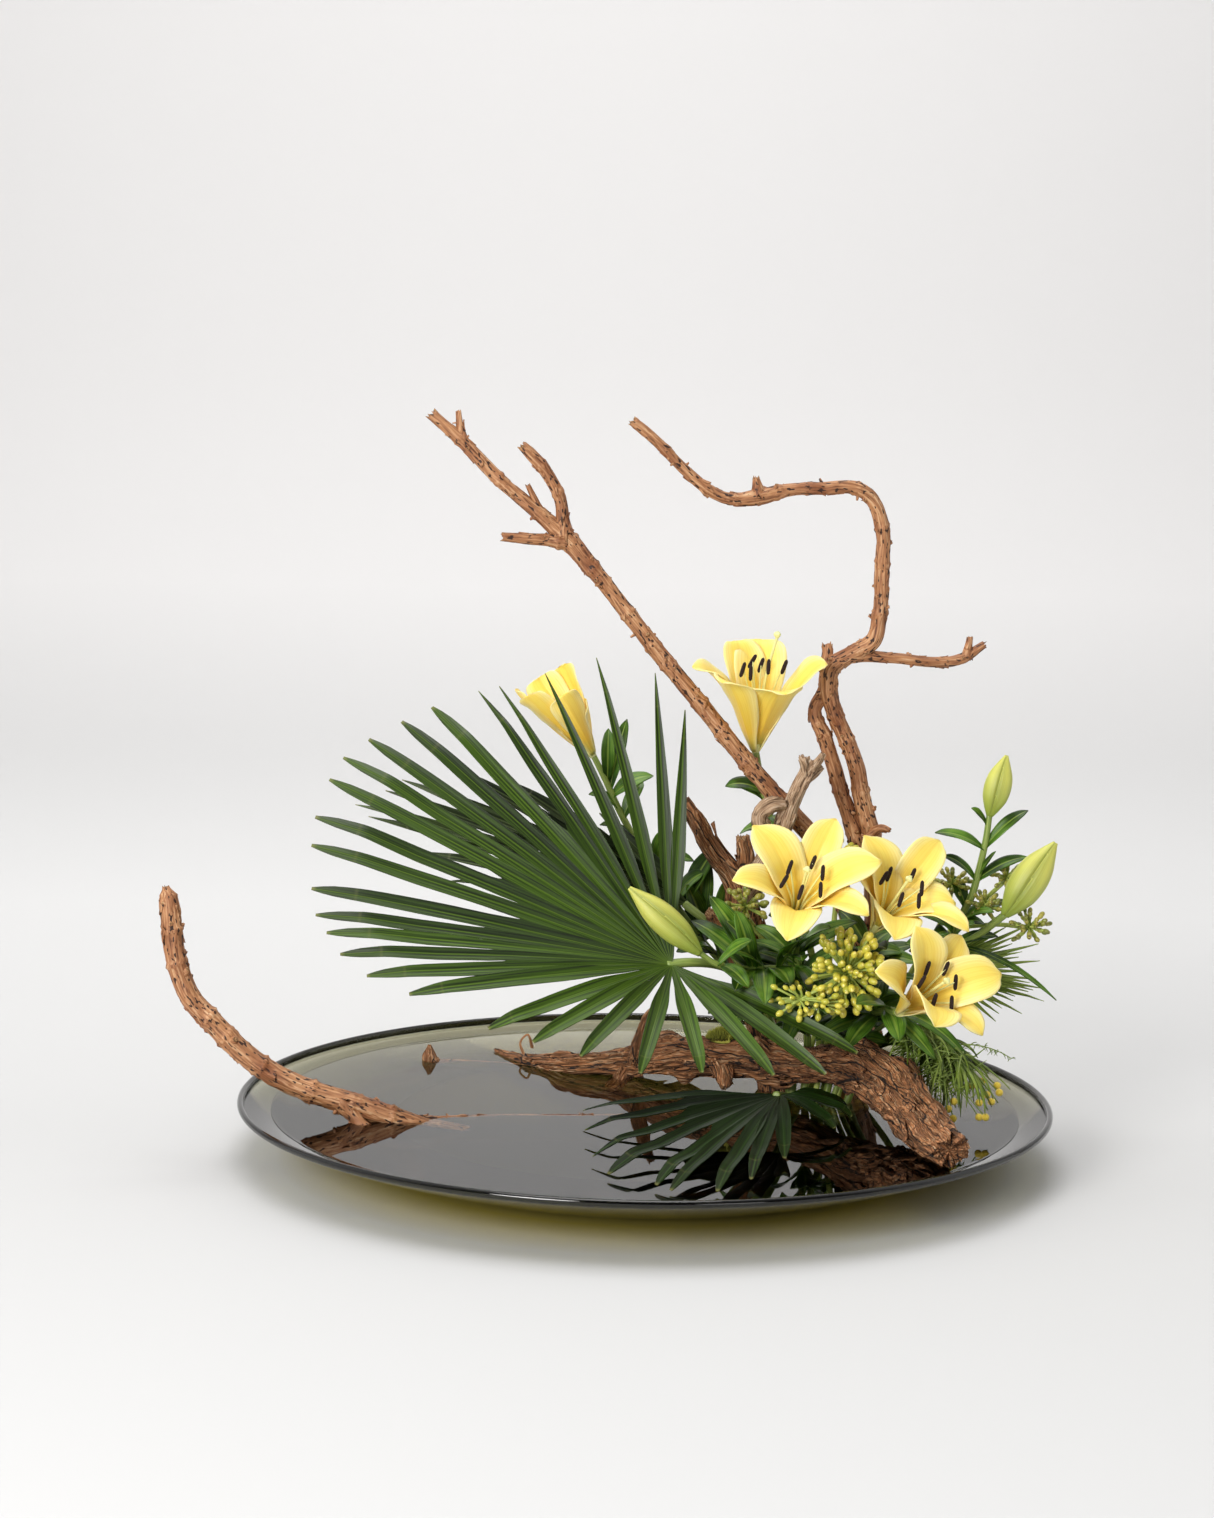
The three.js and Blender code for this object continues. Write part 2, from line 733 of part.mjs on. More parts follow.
// Stem with its side stalks and leaves: leaves are [base, tip, half width, bow].
function leafyStem(stalks, leaves) {
  return (grow) =>
    join([
      ...stalks.map((stalk) => rod(stalk, { grow })),
      ...leaves.map(([base, tip, half, bow = 6]) => leaf(base, tip, half, { bow, grow })),
    ]);
}

const STEMS = {
  top: {
    stalks: [
      [[84, 42, 320, 2.6], [90, 46, 290, 2.8], [98, 50, 262, 3], [112, 58, 220, 3], [132, 66, 160, 3],
        [145, 71, 90, 3], [136, 58, SEAT, 3]],
    ],
    leaves: [
      [[92, 48, 280], [66, 44, 292], 6],
      [[97, 50, 266], [104, 30, 256], 5],
      [[102, 53, 248], [122, 36, 262], 6],
      [[98, 51, 256], [74, 64, 250], 6],
      [[124, 63, 185], [150, 76, 210], 7],
    ],
  },
  left: {
    stalks: [
      [[-45, 80, 310, 2.4], [-36, 83, 292, 2.6], [-23, 86, 264, 2.8], [2, 88, 220, 3], [44, 92, 160, 3],
        [94, 96, 104, 3], [110, 92, 66, 3], [123, 66, SEAT, 3]],
    ],
    leaves: [
      [[-33, 84, 287], [-33, 76, 332], 5.5],
      [[-31, 84, 282], [-18, 92, 338], 6],
      [[-29, 85, 276], [4, 92, 292], 7.5],
      [[-24, 86, 266], [-48, 78, 278], 5],
      [[-20, 86, 258], [-4, 96, 286], 6],
      [[2, 88, 222], [38, 84, 224], 7],
      [[8, 88, 214], [14, 76, 250], 8],
      [[24, 90, 190], [46, 74, 216], 9],
      [[42, 92, 163], [84, 92, 176], 9],
      [[84, 95, 115], [52, 86, 98], 9],
    ],
  },
  centre: {
    stalks: [
      [[112, -41, 195, 3], [114, -30, 184, 3], [119, -5, 155, 3], [127, 30, 115, 3], [131, 45, 75, 3],
        [126, 39, SEAT, 3]],
      [[39, -60, 176, 2.2], [54, -52, 165, 2.4], [80, -32, 158, 2.6], [100, -16, 156, 2.6],
        [119, -5, 154, 2.4]],
    ],
    leaves: [
      [[54, -52, 165], [79, -72, 188], 7, 4],
      [[58, -50, 164], [77, -76, 152], 7, 4],
      [[82, -31, 158], [67, -44, 206], 8],
      [[80, -32, 158], [67, -66, 147], 8],
      [[90, -24, 157], [89, -92, 142], 9],
      [[98, -18, 156], [108, -90, 157], 9],
      [[104, -14, 156], [117, -60, 187], 9],
      [[118, -8, 157], [136, -84, 134], 8],
      [[116, -20, 172], [140, -58, 196], 8],
      [[115, -26, 180], [92, -58, 205], 8],
      [[118, -10, 160], [84, 2, 186], 8],
      [[122, 6, 142], [100, -40, 120], 8],
      [[121, 4, 144], [66, -18, 122], 9],
      [[124, 18, 128], [60, 10, 104], 9],
      [[120, -2, 152], [58, 14, 168], 8],
      [[126, 26, 120], [108, -30, 96], 8],
    ],
  },
  right: {
    stalks: [
      [[175, -23, 187, 3], [171, -10, 168, 3], [161, 30, 130, 3], [153, 51, 90, 3], [141, 42, SEAT, 3]],
    ],
    leaves: [
      [[172, -14, 172], [150, -2, 200], 8],
      [[170, -6, 166], [184, -46, 178], 8],
      [[166, 10, 150], [210, 6, 172], 8],
      [[166, 10, 150], [196, -40, 148], 8],
      [[163, 22, 136], [138, -26, 150], 8],
      [[158, 38, 118], [206, 20, 126], 8],
      [[155, 46, 102], [192, 66, 92], 8],
      [[168, 2, 158], [212, -16, 162], 8],
    ],
  },
  low: {
    stalks: [
      [[192, -68, 133, 3], [186, -36, 128, 3], [172, 6, 112, 3], [154, 35, 75, 3], [142, 33, SEAT, 3]],
    ],
    leaves: [
      [[188, -45, 130], [158, -92, 144], 9],
      [[187, -40, 129], [193, -76, 112], 9, 4],
      [[186, -36, 128], [250, -52, 92], 6, 14],
      [[184, -30, 127], [222, -66, 96], 7],
      [[181, -22, 123], [236, -10, 128], 7],
      [[175, -4, 115], [130, -50, 106], 8],
      [[179, -16, 119], [152, -74, 104], 8],
    ],
  },
  buds: {
    stalks: [
      [[267, 10, 277, 2.4], [265, 12, 256, 2.6], [261, 16, 232, 2.8], [256, 20, 209, 3], [251, 24, 197, 3],
        [234, 23, 155, 3], [206, 22, 110, 3], [174, 24, 70, 3], [155, 23, SEAT, 3]],
      [[281, 0, 199, 2.6], [266, 9, 184, 2.6], [252, 17, 173, 2.6], [240, 23, 163, 2.6]],
    ],
    leaves: [
      [[265, 11, 268], [252, 4, 282], 3.5, 3],
      [[264, 13, 248], [224, 4, 262], 5.5],
      [[265, 13, 250], [298, 16, 279], 5.5],
      [[259, 18, 222], [231, 8, 243], 5],
      [[259, 18, 222], [300, 22, 241], 5.5],
      [[260, 17, 226], [272, 4, 248], 2.6, 2],
      [[252, 23, 200], [240, 40, 222], 6],
      [[250, 23, 192], [288, 46, 202], 6, 2],
      [[246, 20, 170], [322, -6, 132], 3, 10],
      [[234, 22, 154], [268, -20, 140], 5, 8],
      [[226, 22, 142], [278, 8, 134], 6],
      [[217, 22, 127], [262, 12, 112], 6],
      [[243, 22, 178], [216, 2, 196], 6],
      [[231, 23, 150], [206, 2, 168], 7],
    ],
  },
};

// ---------- Berries and florets ----------
// Each berry stands on its own thin stalk from the head of its stem.
function berries(stalks, heads) {
  return (grow) => {
    const parts = stalks.map((stalk) => rod(stalk, { grow }));
    for (const { from, to, radius } of heads) {
      parts.push(stalked(from, to, radius, grow));
    }
    return join(parts);
  };
}

// Berry at the end of a straight stalk, in one skin.
function stalked(from, to, radius, grow) {
  const start = vec(from);
  const centre = vec(to);
  const line = centre.clone().sub(start).normalize();
  const at = (shift) => centre.clone().addScaledVector(line, shift * radius).toArray();
  const path = [[...from, 0.8], [...at(-0.9), 0.8], [...at(-0.2), radius], [...at(0.9), radius * 0.45]];
  return rod(path, { sides: 4, grow });
}

// Berries over a dome about a core, spaced by the golden angle, facing a direction.
function dome({ core, size, count, facing, radius, cover = 0.62, inner = 0.15 }) {
  const face = vec(facing).normalize();
  const side = cross(face, new THREE.Vector3(0.2, 0.3, 1)).normalize();
  const top = cross(face, side);
  const centre = vec(core);
  return Array.from({ length: count }, (_, i) => {
    const depth = 1 - (2 * cover * (i + 0.5)) / count;
    const ring = Math.sqrt(1 - depth * depth);
    const turn = i * 2.39996 + 0.25 * uneven(i, 3);
    const reach = 1 + 0.12 * uneven(i, 7);
    const way = face
      .clone()
      .multiplyScalar(depth)
      .addScaledVector(side, ring * Math.cos(turn))
      .addScaledVector(top, ring * Math.sin(turn));
    const out = new THREE.Vector3(way.x * size[0], way.y * size[1], way.z * size[2]);
    return {
      from: centre.clone().addScaledVector(out, inner).toArray(),
      to: centre.clone().addScaledVector(out, reach).toArray(),
      radius: radius * (1 + 0.12 * uneven(i, 11)),
    };
  });
}

// Short spindle that the stalks of a head stand on.
const core = ([x, y, z], size) => [
  [x, y, z - size, size * 0.5],
  [x, y, z, size],
  [x, y, z + size, size * 0.5],
];

const FRONT_DOME = {
  core: [153, -52, 161],
  size: [27, 24, 32],
  count: 34,
  radius: BERRY,
  facing: [0, -0.9, 0.35],
};
const TRAILING_DOME = {
  core: [116, -79, 144],
  size: [24, 12, 15],
  count: 9,
  radius: 2.3,
  facing: [-0.3, -0.9, 0],
  inner: 0.05,
};
const FRONT_BERRIES = {
  stalks: [
    [[153, -48, 158, 2.4], [151, 0, 122, 2.4], [142, 34, 70, 2.4], [133, 30, SEAT, 2.4]],
    [[151, 0, 122, 2], [138, -40, 138, 1.8], [122, -74, 146, 1.6], [110, -84, 142, 1.4]],
    core([153, -50, 160], 11),
  ],
  heads: [...dome(FRONT_DOME), ...dome(TRAILING_DOME)],
};
const BACK_BERRIES = {
  stalks: [
    [[77, 18, 192, 2.4], [95, 26, 168, 2.2], [118, 33, 140, 2.2], [139, 40, 100, 2.2], [137, 56, 60, 2.2],
      [130, 49, SEAT, 2.2]],
    core([77, 18, 197], 6),
  ],
  heads: dome({ core: [77, 18, 199], size: [17, 14, 15], count: 10, radius: 2.4, facing: [0, -0.7, 0.6] }),
};
const PALE_BERRIES = {
  stalks: [
    [[153, 45, 236, 2.2], [152, 56, 200, 2.2], [145, 65, 120, 2.2], [132, 64, 60, 2.2],
      [128, 56, SEAT, 2.2]],
    core([153, 44, 240], 5),
  ],
  heads: dome({ core: [153, 44, 240], size: [14, 12, 10], count: 8, radius: 2.2, facing: [0, -0.4, 0.9] }),
};
const RIGHT_BERRIES = {
  stalks: [
    [[241, 30, 212, 2.2], [236, 33, 190, 2.4], [215, 38, 150, 2.4], [190, 32, 105, 2.4], [162, 34, 62, 2.4],
      [149, 32, SEAT, 2.4]],
    [[224, 38, 166, 2], [246, 44, 180, 1.8], [270, 42, 204, 1.8], [284, 27, 222, 1.8]],
    [[246, 43, 180, 1.8], [280, 26, 186, 1.8], [300, 13, 186, 1.8]],
    [[279, 26, 186, 1.8], [272, 22, 194, 1.6], [267, 21, 201, 1.6]],
    core([241, 30, 217], 4.5),
    core([284, 25, 224], 4.5),
    core([266, 21, 202], 4.5),
    core([301, 12, 186], 5.5),
  ],
  heads: [
    ...dome({ core: [241, 30, 218], size: [10, 9, 10], count: 6, radius: 2.4, facing: [0, -0.7, 0.7] }),
    ...dome({ core: [284, 25, 225], size: [10, 9, 10], count: 6, radius: 2.4, facing: [0, -0.7, 0.7] }),
    ...dome({ core: [266, 20, 203], size: [10, 9, 9], count: 6, radius: 2.4, facing: [0, -0.7, 0.7] }),
    ...dome({ core: [301, 12, 187], size: [12, 11, 13], count: 8, radius: 2.4, facing: [0, -0.8, 0.6] }),
  ],
};

// Drooping spray of small round florets at the lower right.
const SPRAY_FLORETS = [
  [240, -60, 75],
  [252, -55, 74],
  [260, -50, 76],
  [272, -50, 73],
  [273, -56, 69],
  [263, -60, 68],
  [266, -66, 64],
  [256, -70, 64],
  [236, -76, 66],
  [231, -84, 62],
  [224, -94, 57],
  [234, -90, 56],
  [229, -99, 54],
  [255, -80, 55],
  [260, -80, 55],
];
const SPRAY = {
  stalks: [
    [[143, 20, SEAT, 2.2], [158, 18, 65, 2.2], [180, 14, 98, 2.2], [199, -6, 116, 2], [214, -26, 112, 1.8],
      [236, -42, 98, 1.5], [252, -48, 88, 1.3]],
    [[214, -26, 112, 1.6], [224, -52, 98, 1.4], [232, -70, 82, 1.2]],
  ],
  leaves: [
    [[203, -12, 116], [210, -58, 80], 2.2, 8],
    [[210, -22, 114], [224, -80, 62], 2.2, 8],
    [[218, -30, 110], [246, -44, 72], 2, 8],
    [[226, -36, 105], [266, -34, 80], 2, 8],
    [[233, -40, 101], [284, -38, 92], 2, 8],
    [[227, -59, 92], [222, -88, 68], 2, 4],
  ],
};

function spray(grow) {
  const parts = SPRAY.stalks.map((stalk) => rod(stalk, { grow, sides: 4 }));
  for (const [base, tip, half, bow] of SPRAY.leaves) {
    parts.push(leaf(base, tip, half, { bow, grow }));
  }
  SPRAY_FLORETS.forEach((floret, i) => {
    const [stalk, share] = i < 8 ? [SPRAY.stalks[0], i / 8] : [SPRAY.stalks[1], (i - 7) / 8];
    const [low, high] = stalk.slice(-2);
    const from = between(vec(low), vec(high), share).toArray();
    parts.push(stalked(from, floret, BERRY, grow));
  });
  return join(parts);
}

// Cushion of moss on the log: a low core with pointed shoots standing out of it.
const MOSS = { at: [62, 58, 84], radius: 9, shoots: 11, height: 11 };
function moss(grow) {
  const { at, radius, shoots, height } = MOSS;
  const [x, y, z] = at;
  const parts = [rod([[x - 8, y + 4, z, 5], [x, y, z, 7], [x + 8, y - 4, z, 5]], { grow })];
  for (let i = 0; i < shoots; i++) {
    const turn = i * 2.39996;
    const away = radius * Math.sqrt((i + 0.5) / shoots);
    const foot = [x + 0.5 * away * Math.cos(turn), y + 0.5 * away * Math.sin(turn), z + 1, 1.6];
    const tip = [
      x + 1.3 * away * Math.cos(turn),
      y + 1.1 * away * Math.sin(turn),
      z + height - 0.35 * away + uneven(i),
      0.4,
    ];
    parts.push(rod([foot, tip], { sides: 3, grow }));
  }
  return join(parts);
}

// ---------- Assembly ----------
const BARK = "#a2683f";
const WEATHERED = "#8a6a52";
const LEAF_GREEN = "#3f6b2a";
const PALM_GREEN = "#2f5426";
const YELLOW = "#f3d465";
const BUD_GREEN = "#c9cf6c";

// In order: each piece gives way to those above it.
const PIECES = [
  ["bowl", "vessel", "#6f6c55", 0.08, 0, dish],
  ["pin_holder", "vessel", "#8f8a78", 0.4, 0.9, pinHolder],
  ["driftwood_log", "wood", WEATHERED, 0.85, 0, timber(LOG, LOG_LIMBS, 9, 0.12)],
  ["driftwood_upright", "wood", WEATHERED, 0.85, 0, timber(UPRIGHT, UPRIGHT_LIMBS, 7, 0.14)],
  ["branch_long", "wood", BARK, 0.8, 0, timber(LONG_BRANCH, LONG_LIMBS, 7, 0.06)],
  ["branch_right", "wood", BARK, 0.8, 0, timber(RIGHT_BRANCH, RIGHT_LIMBS, 7, 0.06)],
  ["branch_left", "wood", BARK, 0.8, 0, timber(LEFT_BRANCH, LEFT_LIMBS, 7, 0.06)],
  ["lily_bloom_centre", "lilies", YELLOW, 0.5, 0, bloom(BLOOMS.centre)],
  ["lily_bloom_right", "lilies", YELLOW, 0.5, 0, bloom(BLOOMS.right)],
  ["lily_bloom_low", "lilies", YELLOW, 0.5, 0, bloom(BLOOMS.low)],
  ["lily_bloom_top", "lilies", YELLOW, 0.5, 0, bloom(BLOOMS.top)],
  ["lily_bloom_left", "lilies", YELLOW, 0.5, 0, bloom(BLOOMS.left)],
  ["lily_bud_front", "lilies", BUD_GREEN, 0.5, 0, bud([40, -60, 175], [-15, -60, 225], 11.5)],
  ["lily_bud_top", "lilies", BUD_GREEN, 0.5, 0, bud([267, 10, 275], [279, 10, 323], 10.5)],
  ["lily_bud_right", "lilies", BUD_GREEN, 0.5, 0, bud([280, 0, 198], [318, 0, 256], 14)],
  ["lily_stem_centre", "lilies", LEAF_GREEN, 0.6, 0, leafyStem(STEMS.centre.stalks, STEMS.centre.leaves)],
  ["lily_stem_right", "lilies", LEAF_GREEN, 0.6, 0, leafyStem(STEMS.right.stalks, STEMS.right.leaves)],
  ["lily_stem_low", "lilies", LEAF_GREEN, 0.6, 0, leafyStem(STEMS.low.stalks, STEMS.low.leaves)],
  ["lily_stem_top", "lilies", LEAF_GREEN, 0.6, 0, leafyStem(STEMS.top.stalks, STEMS.top.leaves)],
  ["lily_stem_left", "lilies", LEAF_GREEN, 0.6, 0, leafyStem(STEMS.left.stalks, STEMS.left.leaves)],
  ["lily_stem_buds", "lilies", LEAF_GREEN, 0.6, 0, leafyStem(STEMS.buds.stalks, STEMS.buds.leaves)],
  ["berries_front", "berries", "#a8a638", 0.6, 0, berries(FRONT_BERRIES.stalks, FRONT_BERRIES.heads)],
  ["berries_back", "berries", "#7d7a34", 0.6, 0, berries(BACK_BERRIES.stalks, BACK_BERRIES.heads)],
  ["berries_pale", "berries", "#c5bd5e", 0.6, 0, berries(PALE_BERRIES.stalks, PALE_BERRIES.heads)],
  ["berries_right", "berries", "#5f6130", 0.6, 0, berries(RIGHT_BERRIES.stalks, RIGHT_BERRIES.heads)],
  ["floret_spray", "berries", "#a9a83a", 0.6, 0, spray],
  ["palm_leaf_large", "palms", PALM_GREEN, 0.45, 0, palm(PALM_LARGE, PETIOLES.large)],
  ["palm_leaf_front", "palms", PALM_GREEN, 0.45, 0, palm(PALM_FRONT, PETIOLES.front)],
  ["palm_leaf_back", "palms", "#54644a", 0.55, 0, palm(PALM_BACK, PETIOLES.back)],
  ["palm_leaf_right", "palms", PALM_GREEN, 0.5, 0, palm(PALM_RIGHT, PETIOLES.right)],
  ["moss", "wood", "#76793a", 0.95, 0, moss],
];

const apart = (a, b) => {
  const p = a.boundingBox();
  const q = b.boundingBox();
  return [0, 1, 2].some((k) => p.max[k] < q.min[k] || q.max[k] < p.min[k]);
};

// The piece that is left when a cut makes scraps.
function largest(body) {
  const bodies = body.decompose();
  return bodies.reduce((best, one) => (one.volume() > best.volume() ? one : best));
}

function giveWay(body, neighbours) {
  for (const other of neighbours) {
    if (!apart(body, other)) body = body.subtract(other);
  }
  return largest(body);
}

// Bare geometry about the piece's own anchor.
function geometryOf(body, anchor) {
  const mesh = body.getMesh();
  const geometry = new THREE.BufferGeometry();
  const count = mesh.vertProperties.length / mesh.numProp;
  const flat = new Float32Array(count * 3);
  for (let i = 0; i < count; i++) {
    flat.set(mesh.vertProperties.subarray(i * mesh.numProp, i * mesh.numProp + 3), 3 * i);
  }
  geometry.setAttribute("position", new THREE.BufferAttribute(flat, 3));
  geometry.setIndex(new THREE.BufferAttribute(new Uint32Array(mesh.triVerts), 1));
  geometry.translate(-anchor.x, -anchor.y, -anchor.z);
  geometry.computeVertexNormals();
  return geometry;
}

const arrangement = new THREE.Group();
const groups = {};

function place(name, group, color, roughness, metalness, body, extra = {}) {
  const material = new THREE.MeshStandardMaterial({
    color,
    roughness,
    metalness,
    flatShading: true,
    side: THREE.DoubleSide,
    ...extra,
  });
  const box = body.boundingBox();
  const anchor = new THREE.Vector3(
    Math.round((box.min[0] + box.max[0]) / 2),
    Math.round((box.min[1] + box.max[1]) / 2),
    Math.round(box.min[2]),
  );
  const mesh = new THREE.Mesh(geometryOf(body, anchor), material);
  mesh.name = name;
  mesh.position.copy(anchor);
  if (!groups[group]) {
    groups[group] = new THREE.Group();
    arrangement.add(groups[group]);
  }
  groups[group].add(mesh);
}

const settled = [];
for (const [name, group, color, roughness, metalness, make] of PIECES) {
  const body = giveWay(make(0), settled);
  place(name, group, color, roughness, metalness, body);
  settled.push(make(CLEARANCE));
}
const pool = giveWay(water(0).subtract(well()), settled);
place("water", "vessel", "#3c3f38", 0.02, 0, pool, { transparent: true, opacity: 0.8 });

export default arrangement;
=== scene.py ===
# %% [markdown]
# # An ikebana arrangement in a bowl of smoked glass
# Lilies, fan palm leaves, berries, driftwood and bare branches stand in a wide, shallow bowl of
# water, held by a pin holder that lies on its floor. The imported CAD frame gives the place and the
# form of every piece. This lesson gives each of them its real surface: bark, veins, petals, glass.
# All measures in the lists below are millimetres, as in a drawing, and become metres in the mesh.

# %% Load the frame
import bpy
import math
import random
from mathutils import Matrix, Vector, noise


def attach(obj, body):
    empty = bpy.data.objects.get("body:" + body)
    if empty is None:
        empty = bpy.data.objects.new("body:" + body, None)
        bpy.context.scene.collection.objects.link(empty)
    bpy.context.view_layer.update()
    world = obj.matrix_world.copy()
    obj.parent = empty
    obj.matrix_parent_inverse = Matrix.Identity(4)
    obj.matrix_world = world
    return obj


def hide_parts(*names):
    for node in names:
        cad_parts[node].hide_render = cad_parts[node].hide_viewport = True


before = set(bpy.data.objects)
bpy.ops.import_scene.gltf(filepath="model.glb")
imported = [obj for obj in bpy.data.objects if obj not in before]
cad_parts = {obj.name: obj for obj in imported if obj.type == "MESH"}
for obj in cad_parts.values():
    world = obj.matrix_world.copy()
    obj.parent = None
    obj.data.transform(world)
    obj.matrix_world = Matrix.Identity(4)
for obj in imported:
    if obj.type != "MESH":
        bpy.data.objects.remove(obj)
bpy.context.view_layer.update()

# %% [markdown]
# ## Small tools
# Colours are picked as sRGB hex codes, the way a paint chart gives them, and Blender's shaders
# work in linear light, so one function converts them. A second one adds a node: plain values go
# to its inputs, a node or socket given in place of a value is linked, and settings go to the node
# itself. The last one paints a material's shader and gives it relief, with its depth in millimetres.

# %% Colour and node helpers
MM = 0.001
GOLDEN_TURN = 2.39996  # radians; steps of this angle never fall into rows


def tint(code):
    channels = [int(code[i : i + 2], 16) / 255 for i in (1, 3, 5)]
    return (*[c / 12.92 if c <= 0.04045 else ((c + 0.055) / 1.055) ** 2.4 for c in channels], 1.0)


def add(tree, kind, inputs=None, stops=None, **settings):
    node = tree.nodes.new("ShaderNode" + kind)
    for key, value in settings.items():
        setattr(node, key, value)
    if stops:
        ramp = node.color_ramp
        while len(ramp.elements) < len(stops):
            ramp.elements.new(1.0)
        for element, (place, code) in zip(ramp.elements, stops):
            element.position = place
            element.color = tint(code)
    for key, value in (inputs or {}).items():
        if isinstance(value, bpy.types.Node):
            value = value.outputs[0]
        if isinstance(value, bpy.types.NodeSocket):
            tree.links.new(value, node.inputs[key])
        else:
            node.inputs[key].default_value = value
    return node


def blend(tree, factor, first, second, mode="MIX"):
    inputs = {0: factor, 6: first, 7: second}
    return add(tree, "Mix", inputs, data_type="RGBA", blend_type=mode).outputs[2]


def material(name, **values):
    made = bpy.data.materials.new(name)
    made.use_nodes = True
    shader = made.node_tree.nodes["Principled BSDF"]
    for key, value in values.items():
        shader.inputs[key.replace("_", " ")].default_value = value
    return made, made.node_tree


def paint(tree, colour, height=None, strength=0.0, depth=0.0):
    shader = tree.nodes["Principled BSDF"]
    if isinstance(colour, bpy.types.Node):
        colour = colour.outputs[0]
    tree.links.new(colour, shader.inputs["Base Color"])
    if height:
        bump = add(tree, "Bump", {"Strength": strength, "Distance": depth * MM, "Height": height})
        tree.links.new(bump.outputs[0], shader.inputs["Normal"])


def distance_from_axis(tree):
    """Metres from the upright axis through the middle of the bowl."""
    place = add(tree, "TexCoord").outputs["Object"]
    flat = add(tree, "VectorMath", {0: place, 1: (1, 1, 0)}, operation="MULTIPLY")
    return add(tree, "VectorMath", {0: flat}, operation="LENGTH").outputs["Value"]


# %% [markdown]
# ## Camera
# The rim of the bowl shows as an ellipse in the picture, and the ratio of its axes says that the
# bowl is seen from 13.2 degrees above the table. It stands low in the picture, so the camera
# itself looks down by 7.1 degrees. The ellipse is a little turned, so the camera is rolled by 0.9
# degrees. The distance of 2.5 m is a guess, usual for such a picture.

# %% Camera
PITCH = math.radians(7.0798)
ROLL = math.radians(0.8863)
EYE = (-33.7227, -2433.692, 618.963)
PICTURE_HEIGHT, FOCAL_LENGTH = 36, 74.574
level_right = Vector((1, 0, 0))
level_up = Vector((0, math.sin(PITCH), math.cos(PITCH)))
ahead = Vector((0, math.cos(PITCH), -math.sin(PITCH)))
right = level_right * math.cos(ROLL) + level_up * math.sin(ROLL)
upward = level_up * math.cos(ROLL) - level_right * math.sin(ROLL)
lens = bpy.data.cameras.new("camera")
lens.sensor_fit = "VERTICAL"
lens.sensor_height = PICTURE_HEIGHT
lens.lens = FOCAL_LENGTH
lens.clip_start = 0.05
camera = bpy.data.objects.new("camera", lens)
rows = [(*row, eye * MM) for *row, eye in zip(right, upward, -ahead, EYE)]
camera.matrix_world = Matrix([*rows, (0, 0, 0, 1)])
bpy.context.scene.collection.objects.link(camera)
bpy.context.scene.camera = camera
print("camera looks down by", round(math.degrees(PITCH), 2), "degrees")

# %% [markdown]
# ## Stage and light
# A pale paper sweep: a floor that curves up into a wall. It is one strip of faces, made by
# extruding an edge along the curve. The paper's tone is painted light and shade: the floor is
# darker than the wall, darkest near the front, and lighter towards the back and up the curve.
# Below the bowl it has a painted olive shadow and glow, for the light that comes through the
# glass. The room is bright but dims towards the camera, so the bowl's lip mirrors something
# dark. One softbox hangs overhead, one stands in front at the left, a weak one stands low, and
# the last washes the wall that the water mirrors.

# %% Paper sweep
FLOOR = -0.0006  # a breath under the bowl, so that glass and paper are never the same face
SWEEP = [(-4.2, FLOOR), (2.0, FLOOR), (2.55, 0.05), (2.85, 0.2), (3.05, 0.45), (3.15, 0.85), (3.2, 4.6)]
HALF_WIDTH = 5


def drawn_line(name, points):
    """Line through the points, in edit mode and selected, ready to be spun or extruded."""
    bpy.ops.object.select_all(action="DESELECT")
    bpy.ops.mesh.primitive_plane_add(size=1, location=(0, 0, 0))
    made = bpy.context.object
    made.name = name
    bpy.ops.object.mode_set(mode="EDIT")
    bpy.ops.mesh.select_all(action="SELECT")
    bpy.ops.mesh.delete(type="VERT")
    bpy.ops.object.mode_set(mode="OBJECT")
    made.data.from_pydata(points, [(i, i + 1) for i in range(len(points) - 1)], [])
    bpy.ops.object.mode_set(mode="EDIT")
    bpy.ops.mesh.select_all(action="SELECT")
    return made


def apply_modifier(piece, kind, **settings):
    """Give the piece, which has to be the active one, a modifier and apply it at once."""
    bpy.ops.object.modifier_add(type=kind)
    modifier = piece.modifiers[-1]
    for key, value in settings.items():
        setattr(modifier, key, value)
    bpy.ops.object.modifier_apply(modifier=modifier.name)


sweep = drawn_line("paper_sweep", [(-HALF_WIDTH, *SWEEP[0]), (HALF_WIDTH, *SWEEP[0])])
for (y0, z0), (y1, z1) in zip(SWEEP, SWEEP[1:]):
    bpy.ops.mesh.extrude_region_move(TRANSFORM_OT_translate={"value": (0, y1 - y0, z1 - z0)})
bpy.ops.mesh.select_all(action="SELECT")
bpy.ops.mesh.normals_make_consistent(inside=False)
bpy.ops.object.mode_set(mode="OBJECT")
apply_modifier(sweep, "SUBSURF", levels=3, render_levels=3)
bpy.ops.object.shade_smooth()
paper, tree = material("matt seamless paper", Roughness=0.9, Specular_IOR_Level=0.1)
parts = add(tree, "SeparateXYZ", {0: add(tree, "TexCoord").outputs["Object"]})
# painted light and shade: the floor darker near the front, lighter towards the back and up the curve
depth = add(tree, "MapRange", {0: parts.outputs[1], 1: 0.05, 2: 1.1})
rise = add(tree, "MapRange", {0: parts.outputs[2], 1: 0.0, 2: 0.25})
tone = blend(tree, rise, blend(tree, depth, tint("#cecece"), tint("#dedede")), tint("#efeeee"))
# painted olive shadow and glow below the bowl, for the light that comes through the glass
painted_olive_shadow_mask = add(tree, "MapRange", {0: distance_from_axis(tree), 1: 0.215, 2: 0.29, 3: 1.0, 4: 0.0})
paint(tree, blend(tree, painted_olive_shadow_mask, tone, tint("#b5a552")))
sweep.data.materials.append(paper)
print("sweep:", len(sweep.data.polygons), "faces")

